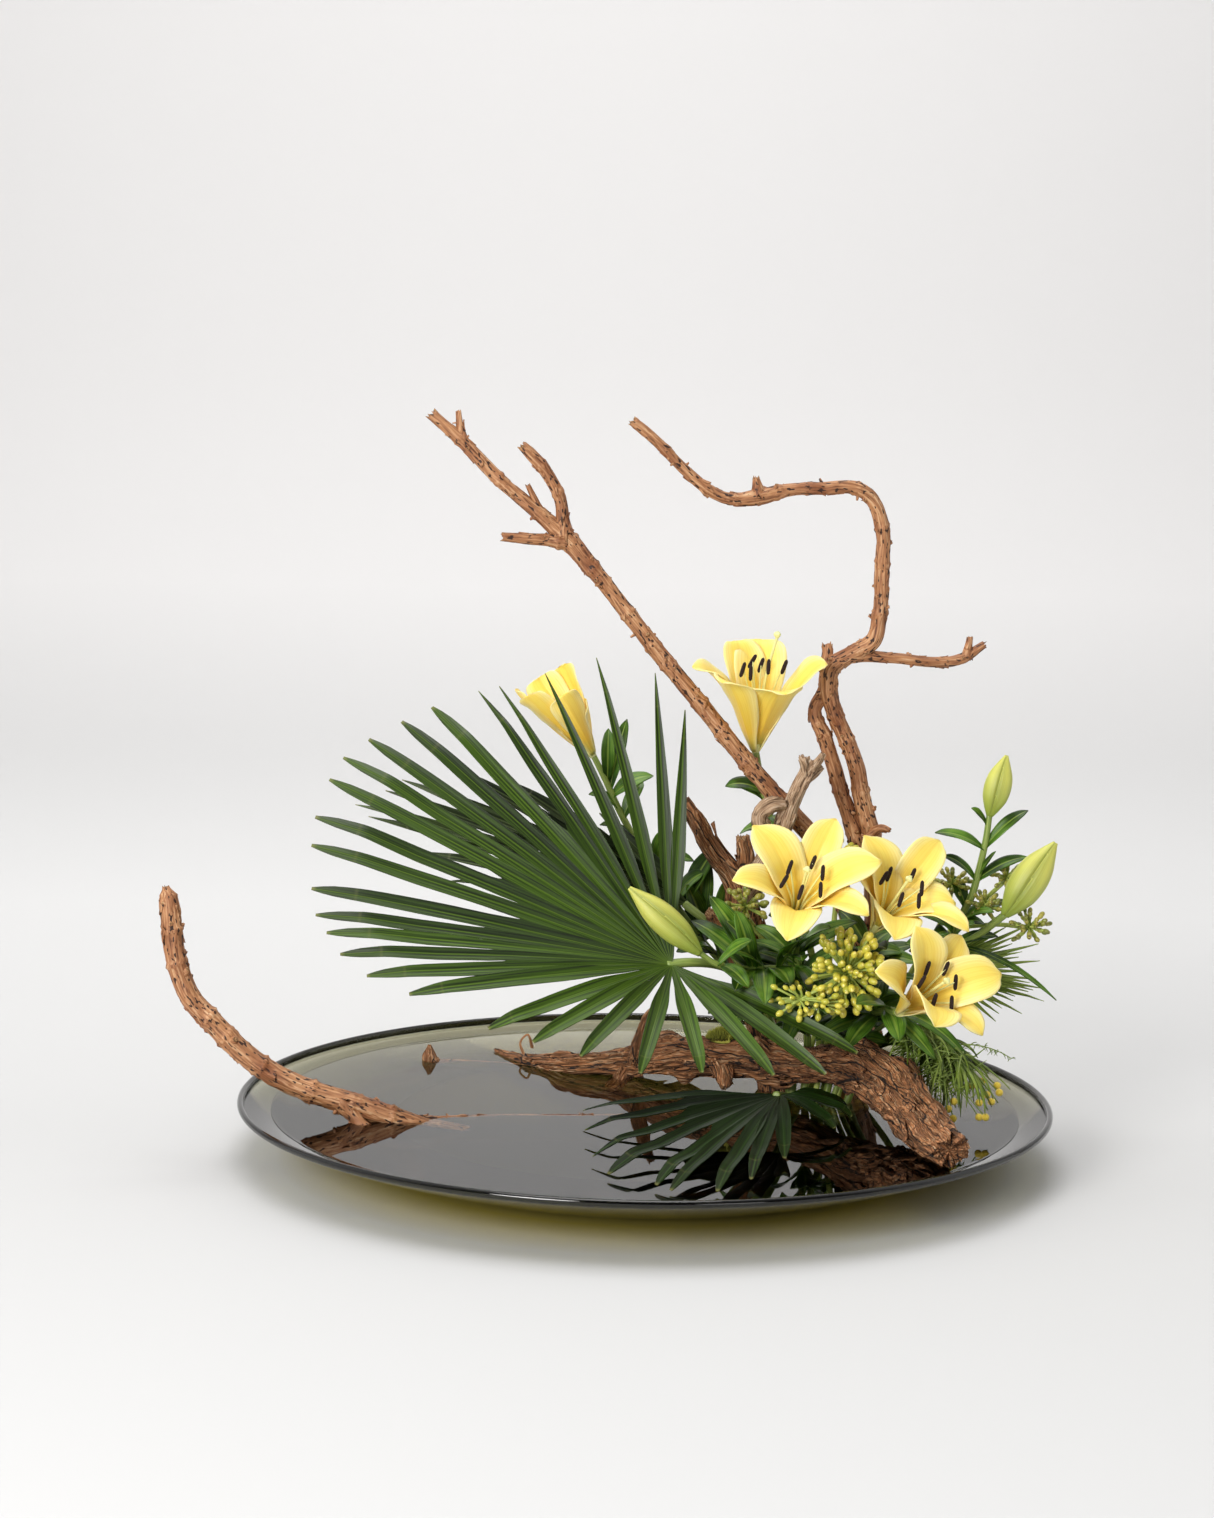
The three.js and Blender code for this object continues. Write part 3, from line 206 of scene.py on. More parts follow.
# %% Light
world = bpy.data.worlds.new("bright room")
bpy.context.scene.world = world
world.use_nodes = True
sky = world.node_tree
toward = add(sky, "SeparateXYZ", {0: add(sky, "TexCoord").outputs["Generated"]})
depth = add(sky, "MapRange", {0: toward.outputs[1], 1: -1.0, 2: 1.0})
room = add(sky, "ValToRGB", {0: depth}, [(0.0, "#3c3c3c"), (0.25, "#787878"), (0.5, "#ffffff")])
sky.links.new(room.outputs[0], sky.nodes["Background"].inputs[0])
sky.nodes["Background"].inputs[1].default_value = 0.88
for name, place, target, size, power in (
    ("overhead softbox", (-0.3, -0.4, 3.1), (0.02, 0, 0.15), 2.0, 36),
    ("front softbox", (-1.5, -2.7, 1.1), (0.02, 0, 0.15), 1.3, 88),
    ("low fill", (0.9, -2.3, 0.35), (0.0, -0.2, 0.02), 0.8, 5),
    ("wall wash", (0.0, 1.3, 3.1), (0.0, 3.2, 0.3), 2.4, 35),
):
    lamp = bpy.data.lights.new(name, "AREA")
    lamp.shape = "DISK"
    lamp.size = size
    lamp.energy = power
    lamp.color = (1, 0.99, 0.975)
    stand = bpy.data.objects.new(name, lamp)
    stand.location = place
    stand.rotation_euler = (Vector(target) - Vector(place)).to_track_quat("-Z", "Y").to_euler()
    bpy.context.scene.collection.objects.link(stand)
bpy.context.scene.view_settings.view_transform = "Standard"
bpy.context.scene.view_settings.exposure = 0.0

# %% [markdown]
# ## The bowl
# A pressed-glass bowl is a turned form, so its profile is drawn once and spun about the upright
# axis. The wall is 5 to 6 mm thick and ends in a rounded lip. Smoked glass is clear soda glass
# with a little metal oxide: the colour sits in the depth of the glass, so the material absorbs
# light along its path. The lip is seen edge on, through much glass, and is painted near black:
# painted shade for the dark band it shows. The glass over the foot is painted darker too: painted
# shade for the shadow that lies under the bowl.

# %% Spin helper
def spun(name, profile, steps=160):
    """Closed solid from (radius, height) points in millimetres that start and end on the axis."""
    made = drawn_line(name, [(r * MM, 0, z * MM) for r, z in profile])
    bpy.ops.mesh.spin(steps=steps, angle=2 * math.pi, center=(0, 0, 0), axis=(0, 0, 1))
    bpy.ops.mesh.select_all(action="SELECT")
    bpy.ops.mesh.remove_doubles(threshold=1e-6)
    bpy.ops.mesh.normals_make_consistent(inside=False)
    bpy.ops.object.mode_set(mode="OBJECT")
    bpy.ops.object.shade_smooth_by_angle(angle=math.radians(40))
    return made


def clear(name, ior, roughness, colour, density):
    """Clear stuff that colours the light on its way through, by the metre."""
    made, tree = material(
        name, Base_Color=(1, 1, 1, 1), Roughness=roughness, IOR=ior, Transmission_Weight=1.0
    )
    absorb = add(tree, "VolumeAbsorption", {"Color": tint(colour), "Density": density})
    tree.links.new(absorb.outputs[0], tree.nodes["Material Output"].inputs["Volume"])
    return made, tree


def hand_over(piece, node):
    """The piece rides on the object's one body and stands for its CAD node."""
    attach(piece, "root")
    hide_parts(node)
    print(piece.name, "-", len(piece.data.polygons), "faces, stands for", node)


# %% Bowl
RIM, LIP = 320, 2.8
WALL_OUT = [(0, 0), (188, 0), (191, 0.5), (194, 1.5), (252, 19.5), (280, 29), (300, 36.5), (314, 42.2)]
WALL_IN = [(300, 43.4), (280, 35.3), (250, 24.5), (206, 10.6), (186, 6), (0, 6)]
lip = [
    (RIM - LIP + LIP * math.sin(math.radians(turn)), 46.9 - LIP * math.cos(math.radians(turn)))
    for turn in range(30, 331, 30)
]
bowl = spun("glass_bowl", WALL_OUT + lip + WALL_IN)
glass, tree = clear("smoked soda glass, pressed", 1.5, 0.02, "#b1ac55", 360.0)
away = distance_from_axis(tree)
# painted shade: the lip is painted near black, and the glass over the foot darker, for the shadow under the
# bowl
edge = add(tree, "MapRange", {0: away, 1: 0.3135, 2: 0.3155})
inside = add(tree, "MapRange", {0: away, 1: 0.2, 2: 0.26, 3: 1.0, 4: 0.0})
paint(tree, blend(tree, edge, blend(tree, inside, (1, 1, 1, 1), tint("#4a4a3a")), tint("#16170f")))
bowl.data.materials.append(glass)
hand_over(bowl, "bowl")

# %% [markdown]
# ## The water
# Still water in a dark bowl is a mirror at this low angle: its surface sends back about a fifth
# of the pale wall, and what goes in is lost in the smoked glass. The body of water reaches a
# little way into the wall, so no film of air is left between the two.

# %% Water
SURFACE = [(293.6, 41.3), (292.4, 41.06), (290, 41), (0, 41)]
BED = [(0, 5.6), (186, 5.6), (206, 10.0), (250, 23.9), (280, 34.7), (293.6, 40.2)]
water = spun("water_pool", BED + SURFACE)
water.data.materials.append(clear("still water", 1.33, 0.0, "#f2ebaa", 40.0)[0])
hand_over(water, "water")

# %% [markdown]
# ## Paths, skins and grain
# Wood, stems and stalks all follow a line through a few measured places, so one curve helper
# serves them: a centripetal Catmull-Rom curve, which never overshoots between near places. A skin
# gathers points and faces, and stores for each point where it lies on the unrolled piece, in
# millimetres: bark and fibres then run along every bend, which flat texture directions can't do.

# %% Curve helper
SEAT = 21.35  # the stems' feet, pressed on to the pins


def uneven(i, j=0):
    """A number from -1 to 1 that looks random, and is always the same for the same i and j."""
    s = math.sin(i * 127.1 + j * 311.7 + 17.3) * 43758.5453
    return 2 * (s - math.floor(s)) - 1


def mixed(values, t):
    """Straight lines through evenly spaced values."""
    at = min(max(t, 0.0), 1.0) * (len(values) - 1)
    low = min(int(at), len(values) - 2)
    return values[low] + (values[low + 1] - values[low]) * (at - low)


def eased(values, t):
    """Smooth curve through evenly spaced values."""
    at = min(max(t, 0.0), 1.0) * (len(values) - 1)
    i = min(int(at), len(values) - 2)
    f = at - i
    a, b = values[i], values[i + 1]
    da = (b - values[i - 1]) / 2 if i else b - a
    db = (values[i + 2] - a) / 2 if i + 2 < len(values) else b - a
    near = a * (1 + 2 * f) * (1 - f) ** 2 + da * f * (1 - f) ** 2
    return near + b * f * f * (3 - 2 * f) - db * f * f * (1 - f)


def bowed(foot, bend, tip, t):
    """Place on the simple curve that leaves the foot towards `bend` and ends at the tip."""
    return foot * (1 - t) ** 2 + bend * 2 * t * (1 - t) + tip * t * t


def smooth_path(stations, step):
    """Places, tangents, radii and lengths at about every `step` mm of a curve through the stations."""
    knots = [Vector(s) for s in stations]
    knots = [2 * knots[0] - knots[1], *knots, 2 * knots[-1] - knots[-2]]
    samples = []
    for a, b, c, d in zip(knots, knots[1:], knots[2:], knots[3:]):
        gaps = [max((q.xyz - p.xyz).length ** 0.5, 1e-3) for p, q in ((a, b), (b, c), (c, d))]
        m1 = ((b - a) / gaps[0] - (c - a) / (gaps[0] + gaps[1]) + (c - b) / gaps[1]) * gaps[1]
        m2 = ((c - b) / gaps[1] - (d - b) / (gaps[1] + gaps[2]) + (d - c) / gaps[2]) * gaps[1]
        count = max(1, round((c.xyz - b.xyz).length / step))
        for f in (i / count for i in range(count)):
            square = (3 * (c - b) - 2 * m1 - m2) * f * f
            samples.append(b + m1 * f + square + (2 * (b - c) + m1 + m2) * f**3)
    samples.append(knots[-2])
    places = [s.xyz for s in samples]
    last = len(places) - 1
    tangents = [(places[min(i + 1, last)] - places[max(i - 1, 0)]).normalized() for i in range(last + 1)]
    lengths = [0.0]
    for p, q in zip(places, places[1:]):
        lengths.append(lengths[-1] + (q - p).length)
    return places, tangents, [s.w for s in samples], lengths


def ripple(turn, along, fine):
    """Noise round a rod and along it; a larger `fine` gives more ripples round the rod."""
    return noise.noise(Vector((math.cos(turn) * fine, math.sin(turn) * fine, along)))


# %% Skin helper
def alone(piece, *others):
    """Select the piece, and others with it, as the active one."""
    bpy.ops.object.select_all(action="DESELECT")
    for one in (piece, *others):
        one.select_set(True)
    bpy.context.view_layer.objects.active = piece


def joined(pieces, name):
    alone(*pieces)
    bpy.ops.object.join()
    pieces[0].name = name
    return pieces[0]


def linked(name, mesh, *surfaces):
    made = bpy.data.objects.new(name, mesh)
    for surface in surfaces:
        mesh.materials.append(surface)
    bpy.context.scene.collection.objects.link(made)
    return made


class Skin:
    """Points in millimetres, their place on the unrolled piece, and faces with a material number."""

    def __init__(self):
        self.points, self.grain, self.faces, self.kinds = [], [], [], []

    def point(self, place, grain):
        self.points.append(place)
        self.grain.append(grain)
        return len(self.points) - 1

    def face(self, *corners, kind=0):
        self.faces.append(corners)
        self.kinds.append(kind)

    def repaint(self, first, kind):
        """Give every face from number `first` on another material."""
        self.kinds[first:] = [kind] * (len(self.faces) - first)

    def rings(self, rings, kind=0):
        for low, high in zip(rings, rings[1:]):
            for j in range(len(low)):
                k = (j + 1) % len(low)
                self.face(low[j], low[k], high[k], high[j], kind=kind)

    def tube(self, stations, step, sides, shape=None, ends=(0, 0), shift=0.0, ragged=0.0):
        """Round rod; shape(length, turn, radius) changes its radius, ragged roughens its ends."""
        places, tangents, radii, lengths = smooth_path(stations, step)
        across = Vector((0.31, 0.9, 0.24))  # a direction that no rod here runs along
        rings, frames = [], []
        last = len(places) - 1
        for i, (place, tangent, radius, length) in enumerate(zip(places, tangents, radii, lengths)):
            across = (across - tangent * across.dot(tangent)).normalized()
            upward = tangent.cross(across)
            frames.append((place, tangent, across, upward, radius, length + shift))
            ring = []
            for j in range(sides):
                turn = 2 * math.pi * j / sides
                r = shape(length + shift, turn, radius) if shape else radius
                slip = ragged * radius * ripple(turn, shift, 4) if ragged and i in (0, last) else 0.0
                at = place + (across * math.cos(turn) + upward * math.sin(turn)) * r + tangent * slip
                ring.append(self.point(at, (r * math.cos(turn), r * math.sin(turn), length + shift)))
            rings.append(ring)
        self.rings(rings)
        for ring, at, way, kind in ((rings[0], 0, 1, ends[0]), (rings[-1], last, -1, ends[1])):
            push = tangents[at] * way * radii[at] * ragged
            self.close(ring, places[at], push, way, kind, lengths[at] + shift, shift)
        return frames

    def close(self, ring, centre, push, way, kind, length, shift):
        """End of a rod: an inner ring and a middle, sunk or raised unevenly where it is broken."""
        inner = []
        for j, p in enumerate(ring):
            splinter = 0.25 + 0.5 * noise.noise(Vector((j * 0.9, shift, 3)))
            x, y, z = self.grain[p]
            sunk = self.points[p].lerp(centre, 0.45) + push * splinter
            inner.append(self.point(sunk, (0.55 * x, 0.55 * y, z)))
        middle = self.point(centre + push * 0.3, (0, 0, length))
        self.rings([ring, inner] if way < 0 else [inner, ring], kind=kind)
        for j in range(len(inner)):
            k = (j + 1) % len(inner)
            pair = (inner[j], inner[k]) if way < 0 else (inner[k], inner[j])
            self.face(*pair, middle, kind=kind)

    def flakes(self, frames, shape, count, size, lift):
        """Thin curled plates that lie on a tube along its grain, raised at one end."""
        step = (frames[-1][5] - frames[0][5]) / (len(frames) - 1)
        for _ in range(count):
            long = max(3, round(random.uniform(0.5, 1.0) * size[0] / step))
            first = random.randrange(1, max(2, len(frames) - long - 2))
            middle, wide = random.uniform(0, 2 * math.pi), random.uniform(0.5, 1.0) * size[1]
            rise, flip = random.uniform(0.3, 1.0) * lift, random.random() < 0.5
            rows = min(5, long)
            layers = []
            for skin_height in (0.0, 0.55):
                layer = []
                for k in range(rows + 1):
                    spot = min(first + round(k * long / rows), len(frames) - 1)
                    place, tangent, across, upward, radius, length = frames[spot]
                    end = k / rows if flip else 1 - k / rows
                    curve = 0.35 + 0.65 * math.sin(math.pi * min(0.95, 0.12 + 0.8 * (1 - end)))
                    half = wide * curve / radius / 2
                    line = []
                    for c in range(4):
                        turn = middle + half * (c - 1.5) / 1.5 + 0.2 * math.sin(k + middle)
                        curl = rise * end**2 * (1 + 0.3 * math.sin(5 * c + k))
                        r = shape(length, turn, radius) - 0.25 + curl + skin_height
                        at = place + (across * math.cos(turn) + upward * math.sin(turn)) * r
                        line.append(self.point(at, (r * math.cos(turn), r * math.sin(turn), length)))
                    layer.append(line)
                layers.append(layer)
            inner, outer = layers
            for k in range(rows):
                for c in range(3):
                    self.face(outer[k][c], outer[k][c + 1], outer[k + 1][c + 1], outer[k + 1][c])
                    self.face(inner[k][c], inner[k + 1][c], inner[k + 1][c + 1], inner[k][c + 1])
                self.face(inner[k][0], outer[k][0], outer[k + 1][0], inner[k + 1][0])
                self.face(outer[k][3], inner[k][3], inner[k + 1][3], outer[k + 1][3])
            for c in range(3):
                self.face(inner[0][c], inner[0][c + 1], outer[0][c + 1], outer[0][c])
                self.face(outer[-1][c], outer[-1][c + 1], inner[-1][c + 1], inner[-1][c])

    def build(self, name, *surfaces):
        mesh = bpy.data.meshes.new(name)
        mesh.from_pydata([p * MM for p in self.points], [], self.faces)
        grain = mesh.attributes.new("grain", "FLOAT_VECTOR", "POINT")
        grain.data.foreach_set("vector", [c for g in self.grain for c in g])
        mesh.polygons.foreach_set("material_index", self.kinds)
        mesh.polygons.foreach_set("use_smooth", [True] * len(self.faces))
        mesh.validate()
        return linked(name, mesh, *surfaces)


# %% [markdown]
# ## Wood and bark materials
# The thin branches keep their bark: warm tan, with long dark pores in rows. The log and the stump
# have lain outdoors until the bark peeled, so they are greyer, with dark cracks along the grain
# and reddish wood under lifted flakes. Broken ends show pale, splintered fibres.

# %% Patterns along the grain
def stretched(tree, across, along, offset=0.0, warp=0.0):
    """Unrolled coordinates, bent by up to `warp` mm, then divided by the pattern's size in millimetres."""
    place = add(tree, "Attribute", attribute_name="grain").outputs["Vector"]
    if warp:
        wide = add(tree, "Mapping", {0: place, 3: (1 / 14, 1 / 14, 1 / 26)})
        bend = add(tree, "TexNoise", {"Vector": wide, "Scale": 1.0, "Detail": 2.0}).outputs["Color"]
        pull = (2 * warp, 2 * warp, 3 * warp)
        place = add(tree, "VectorMath", {0: bend, 1: pull, 2: place}, operation="MULTIPLY_ADD")
    return add(tree, "Mapping", {0: place, 1: (offset,) * 3, 3: (1 / across, 1 / across, 1 / along)})


def fibres(tree, detail, *where):
    return add(tree, "TexNoise", {"Vector": stretched(tree, *where), "Scale": 1.0, "Detail": detail})


def specks(tree, scale):
    return add(tree, "TexNoise", {"Vector": add(tree, "TexCoord").outputs["Object"], "Scale": scale})


def fibrous(name, roughness, detail, where, stops, strength=0.0, depth=0.0):
    """Material with one pattern along the grain, for its colour and its relief."""
    made, tree = material(name, Roughness=roughness)
    pattern = fibres(tree, detail, *where)
    paint(tree, add(tree, "ValToRGB", {0: pattern}, stops), pattern if strength else None, strength, depth)
    return made


# %% Bark
bark, tree = material("dry branch bark", Roughness=0.62)
streaks = fibres(tree, 6.0, 1.5, 26, 0, 1.5)
patches = add(tree, "ValToRGB", {0: fibres(tree, 3.0, 16, 30, 5)}, [(0.35, "#b08560"), (0.6, "#ffffff")])
pores = add(tree, "ValToRGB", {0: fibres(tree, 1.0, 2.5, 6.0, 9)}, [(0.62, "#ffffff"), (0.645, "#000000")])
tan_stops = [(0.3, "#643a20"), (0.42, "#9c6943"), (0.55, "#b98459"), (0.72, "#d6b088")]
worn = blend(tree, 0.7, add(tree, "ValToRGB", {0: streaks}, tan_stops), patches, "MULTIPLY")
ridges = add(tree, "Math", {0: streaks, 1: pores}, operation="MULTIPLY")
paint(tree, blend(tree, pores, tint("#33190b"), worn), ridges, 0.7, 0.8)

# %% Weathered wood
weathered, tree = material("weathered driftwood", Roughness=0.8)
wood_stops = [(0.34, "#3a1e12"), (0.44, "#8f5230"), (0.53, "#c88a5a"), (0.66, "#edd0ae")]
wood = add(tree, "ValToRGB", {0: fibres(tree, 8.0, 1.4, 30, 0, 4)}, wood_stops)
grey_stops = [(0.36, "#9a6044"), (0.5, "#e9d6c4"), (0.66, "#fff6ee")]
grey = add(tree, "ValToRGB", {0: fibres(tree, 5.0, 9, 40, 3, 6)}, grey_stops)
split = {"Vector": stretched(tree, 11, 190, 7, 5), "Scale": 1.0, "Randomness": 1.0}
cracks = add(tree, "TexVoronoi", split, feature="DISTANCE_TO_EDGE")
gaps = add(tree, "ValToRGB", {0: cracks}, [(0.0, "#000000"), (0.012, "#1c1c1c"), (0.035, "#ffffff")])
layers = add(tree, "Math", {0: fibres(tree, 2.5, 9, 150, 13, 2), 1: 17.0}, operation="MULTIPLY")
layer = add(tree, "Math", {0: layers}, operation="FRACT")
line_stops = [(0.0, "#2a2a2a"), (0.16, "#a8a8a8"), (0.4, "#ffffff"), (1.0, "#c8c8c8")]
lines = add(tree, "ValToRGB", {0: layer}, line_stops)
layered = blend(tree, 0.75, blend(tree, 0.7, wood, grey, "MULTIPLY"), lines, "MULTIPLY")
lifted = blend(tree, 0.3, layered, tint("#c08a58"))
hollows = add(tree, "Math", {0: lines, 1: gaps}, operation="MULTIPLY")
paint(tree, blend(tree, gaps, tint("#1a0d08"), lifted), hollows, 1.0, 1.8)

# %% Bleached and split wood
bleached_stops = [(0.3, "#46301f"), (0.44, "#94765a"), (0.57, "#bb9d80"), (0.74, "#dccab2")]
bleached = fibrous("sun-bleached driftwood", 0.85, 7.0, (1.2, 16, 2), bleached_stops, 0.9, 1.2)
split_stops = [(0.35, "#4a2c18"), (0.55, "#a87d52"), (0.75, "#d8bd92")]
split_wood = fibrous("split wood fibres", 0.85, 5.0, (0.8, 3, 11), split_stops, 0.8, 0.8)
print("wood materials:", bark.name, "-", weathered.name, "-", split_wood.name)

# %% [markdown]
# ## The three bare branches
# Branches like these are cut, soaked and left to dry. Every few centimetres a bud scar makes the
# branch a little thicker, and small side shoots have broken off. The lists hold the middle line
# of each branch and its radius. Side limbs start inside the trunk and flare where they leave it.

# %% Branch shapes
LONG_BRANCH = [
    [-172, -10, 582, 4.5], [-149, -8, 562, 5], [-119, -4, 532, 5.5], [-88, 0, 506, 5.8], [-68, 4, 488, 8],
    [-41, 8, 457, 6.3], [-2, 14, 408, 6.5], [38, 18, 360, 6.8], [79, 22, 310, 7.2], [111, 26, 274, 7.5],
    [136, 30, 245, 8], [157, 34, 202, 8.2], [169, 40, 153, 8.5], [176, 46, 111, 8.5], [172, 46, 69, 8.5],
    [157, 40, SEAT, 8.5],
]
LONG_LIMBS = [
    [[-70, 3, 490, 6], [-73, 0, 518, 5], [-84, -4, 539, 5], [-96, -8, 553, 4.8], [-102, -10, 559, 3.8]],
    [[-68, 4, 486, 5.5], [-92, -2, 487, 4.6], [-117, -8, 489, 3.6]], [[-86, 1, 504, 3.5], [-98, -4, 529, 2]],
    [[-149, -8, 562, 3.5], [-152, -6, 585, 2.2]],
]
RIGHT_BRANCH = [
    [-18, -16, 579, 3.5], [-10, -14, 573, 4.2], [6, -10, 559, 4], [21, -6, 544, 4.2], [45, 0, 525, 4.6],
    [61, 4, 520, 5], [81, 8, 522, 6.5], [107, 14, 528, 5.2], [132, 18, 529, 5.2], [154, 22, 530, 5.4],
    [169, 27, 522, 5.6], [179, 33, 498, 5.8], [180, 40, 458, 6], [180, 44, 431, 6.2], [175, 47, 408, 6.6],
    [158, 50, 397, 6.8], [143, 50, 386, 7.5], [141, 50, 370, 7.8], [147, 53, 349, 6.8], [157, 55, 328, 6.6],
    [165, 57, 308, 6.8], [171, 59, 279, 7.2], [180, 62, 245, 8], [184, 66, 197, 9], [186, 70, 148, 9.5],
    [184, 72, 98, 9.5], [161, 57, SEAT, 9],
]
RIGHT_LIMBS = [
    [
        [142, 52, 371, 5.5], [131, 55, 352, 5.5], [139, 57, 330, 6], [147, 60, 308, 6.2],
        [156, 63, 280, 6.4], [166, 65, 252, 7], [177, 65, 222, 7],
    ],
    [[140, 51, 384, 5], [140, 55, 404, 4]],
    [[158, 50, 397, 5], [196, 54, 394, 4.4], [226, 60, 391, 4.2], [246, 64, 393, 4.6], [266, 68, 405, 3.2]],
    [[252, 65, 394, 3.4], [254, 66, 411, 2.6]], [[81, 8, 522, 5], [78, 6, 537, 2.6]],
    [[175, 61, 248, 5], [186, 51, 258, 3.5], [193, 47, 257, 2]], [[180, 62, 236, 5], [192, 53, 240, 3]],
]
LEFT_BRANCH = [
    [-369, -64, 221, 2.5], [-367, -64, 212, 7], [-365, -64, 193, 8], [-361, -64, 164, 8.2],
    [-351, -64, 137, 8.4], [-331, -64, 114, 8.6], [-305, -64, 89, 8.8], [-274, -64, 70, 9],
    [-243, -64, 59, 9], [-216, -64, 51, 9], [-190, -62, 42, 8.6], [-166, -58, 32, 8], [-140, -54, 14, 7],
]
LEFT_LIMBS = [
    [[-232, -64, 55, 7], [-222, -70, 44, 5.5], [-214, -74, 36, 4.5]],
    [[-178, -54, 39.4, 3], [-115, -36, 38.8, 2], [-35, -30, 38.4, 1.8], [50, 10, 22, 2.4], [98, 44, 11, 3]],
]


SCAR_SPACING, STUB_SPACING = 34, 15


def branch_skin(trunk, limbs, seed):
    scars = [seed % 7 + SCAR_SPACING * (k + 0.3 * uneven(k, seed)) for k in range(60)]

    def bark_radius(length, turn, radius):
        rough = ripple(turn, length / 16 + seed, 1.3)
        fine = ripple(turn, length / 5 + seed * 3, 3.5)
        near = min(abs(length - s) for s in scars)
        scar = 0.2 * math.exp(-((near / 3.2) ** 2)) * (0.55 + 0.45 * math.cos(turn - length))
        strips = abs(ripple(turn, length / 40 + seed, 2.6))
        return radius * (0.98 + 0.07 * rough + 0.025 * fine + scar - 0.16 * max(0, 0.12 - strips) / 0.12)

    def limb_radius(length, turn, radius):
        away = length % 1000
        return bark_radius(length, turn, radius) * (1 + 0.5 * math.exp(-((away / 9) ** 2)))

    random.seed(seed)
    skin = Skin()

    def stubs(frames):
        """What is left of side twigs that broke off: short pegs that lean along the branch."""
        for _ in range(int((frames[-1][5] - frames[0][5]) / STUB_SPACING)):
            place, tangent, across, upward, radius, length = frames[random.randrange(3, len(frames) - 3)]
            turn = random.uniform(0, 2 * math.pi)
            way = across * math.cos(turn) + upward * math.sin(turn) + tangent * random.uniform(-0.9, 0.3)
            way.normalize()
            long, thick = random.uniform(1.2, 3.4), radius * random.uniform(0.2, 0.36)
            spots = ((-0.5 * radius, 1.5), (0, 1.15), (long, 0.7))
            peg = [(*(place + way * (radius + s)), thick * w) for s, w in spots]
            skin.tube(peg, 1.0, 9, limb_radius, ends=(0, 1), shift=length + 40, ragged=0.8)

    frames = skin.tube(trunk, 1.8, 30, bark_radius, ends=(1, 0), ragged=1.3)
    skin.flakes(frames, bark_radius, round(frames[-1][5] / 13), (13, 4.5), 1.3)
    stubs(frames)
    for n, limb in enumerate(limbs):
        frames = skin.tube(limb, 1.8, 20, limb_radius, ends=(0, 1), shift=1000.0 * (n + 1), ragged=1.5)
        skin.flakes(frames, limb_radius, round((frames[-1][5] - frames[0][5]) / 12), (10, 3.5), 1.3)
        stubs(frames)
    return skin


# %% Long, right and left branch
for name, trunk, limbs, seed in (
    ("branch_long", LONG_BRANCH, LONG_LIMBS, 11),
    ("branch_right", RIGHT_BRANCH, RIGHT_LIMBS, 23),
    ("branch_left", LEFT_BRANCH, LEFT_LIMBS, 37),
):
    piece = branch_skin(trunk, limbs, seed).build(name + "_bark", bark, split_wood)
    hand_over(piece, name)

# %% [markdown]
# ## Driftwood
# The log arches over the water like a bridge, and a stump stands behind it. Old wood is eroded
# between its fibres: deep furrows run along it and wander, and flakes stand up between them. The
# furrows are shaped in the mesh, since they show in the outline. Finer cracks are in the material.

# %% Driftwood shapes
LOG = [
    [-124, 191, 41, 2.5], [-106, 162, 42, 4], [-82, 136, 44, 6], [-58, 114, 48, 9], [-14, 104, 54, 11],
    [26, 86, 62, 16], [50, 70, 66, 16.5], [79, 53, 69, 15], [117, 30, 71, 14], [150, -2, 75, 14.5],
    [170, -28, 79, 18.5], [187, -62, 75, 19], [202, -112, 64, 18], [214, -160, 57, 15], [221, -196, 57, 12],
]
LOG_LIMBS = [
    [[-14, 104, 50, 8], [-20, 98, 30, 8], [-25, 94, 12.5, 6.5]],
    [[-4, 94, 56, 8], [-3, 86, 74, 6], [2, 84, 92, 4], [8, 82, 103, 2.5]],
    [[60, 56, 66, 9], [64, 44, 56, 7], [66, 38, 48, 4]],
    [[104, 40, 70, 8], [96, 30, 82, 6], [88, 24, 90, 3.5]],
    [[206, -120, 64, 10], [222, -150, 58, 6], [226, -172, 57, 4]],
    [[-66, 122, 46, 3], [-104, 150, 35, 2], [-150, 162, 33, 2.2], [-177, 153, 38, 7], [-179, 153, 54, 1]],
    [[-98, 158, 42, 2], [-103, 168, 54, 1], [-97, 171, 60, 0.9], [-93, 170, 49, 1.6]],
]
UPRIGHT = [
    [107, 59, SEAT, 9], [100, 76, 70, 12], [88, 70, 120, 13], [79, 60, 165, 14], [76, 52, 194, 13],
    [72, 46, 213, 9.5], [53, 45, 239, 6.8], [41, 45, 259, 6.4], [28, 45, 280, 4],
]
UPRIGHT_LIMBS = [
    [[72, 48, 208, 8], [78, 41, 234, 6], [75, 37, 251, 5.5]],
    [[76, 50, 202, 7], [87, 32, 226, 6], [91, 26, 240, 4.5]],
    [
        [76, 50, 194, 9], [88, 30, 220, 8.5], [98, 12, 243, 8], [105, 4, 262, 7.5], [111, 0, 283, 6.4],
        [119, 0, 303, 6.2], [127, 0, 318, 4.4],
    ],
    [[78, 56, 186, 12], [61, 42, 180, 9.5], [50, 35, 191, 5]],
    [[80, 58, 172, 12], [74, 36, 164, 9.5], [64, 26, 172, 5]],
]
# the pale arm rolls round on itself, and its end splits into short fingers
KNUCKLE = [
    [
        [107, 4, 264, 6.4], [98, -4, 260, 6.2], [89, -8, 265, 6], [86, -9, 275, 5.4], [93, -9, 283, 5.2],
        [105, -4, 284, 4.6],
    ],
    [[122, 0, 306, 4.5], [120, -3, 316, 3], [117, -4, 322, 1.8]],
    [[124, 0, 308, 4], [131, -2, 318, 3], [134, -3, 324, 1.6]],
    [[122, 1, 303, 4], [130, 4, 309, 2.8], [135, 5, 312, 1.5]],
]
TWIG = 3  # limbs that start no thicker than this are round twigs without flakes


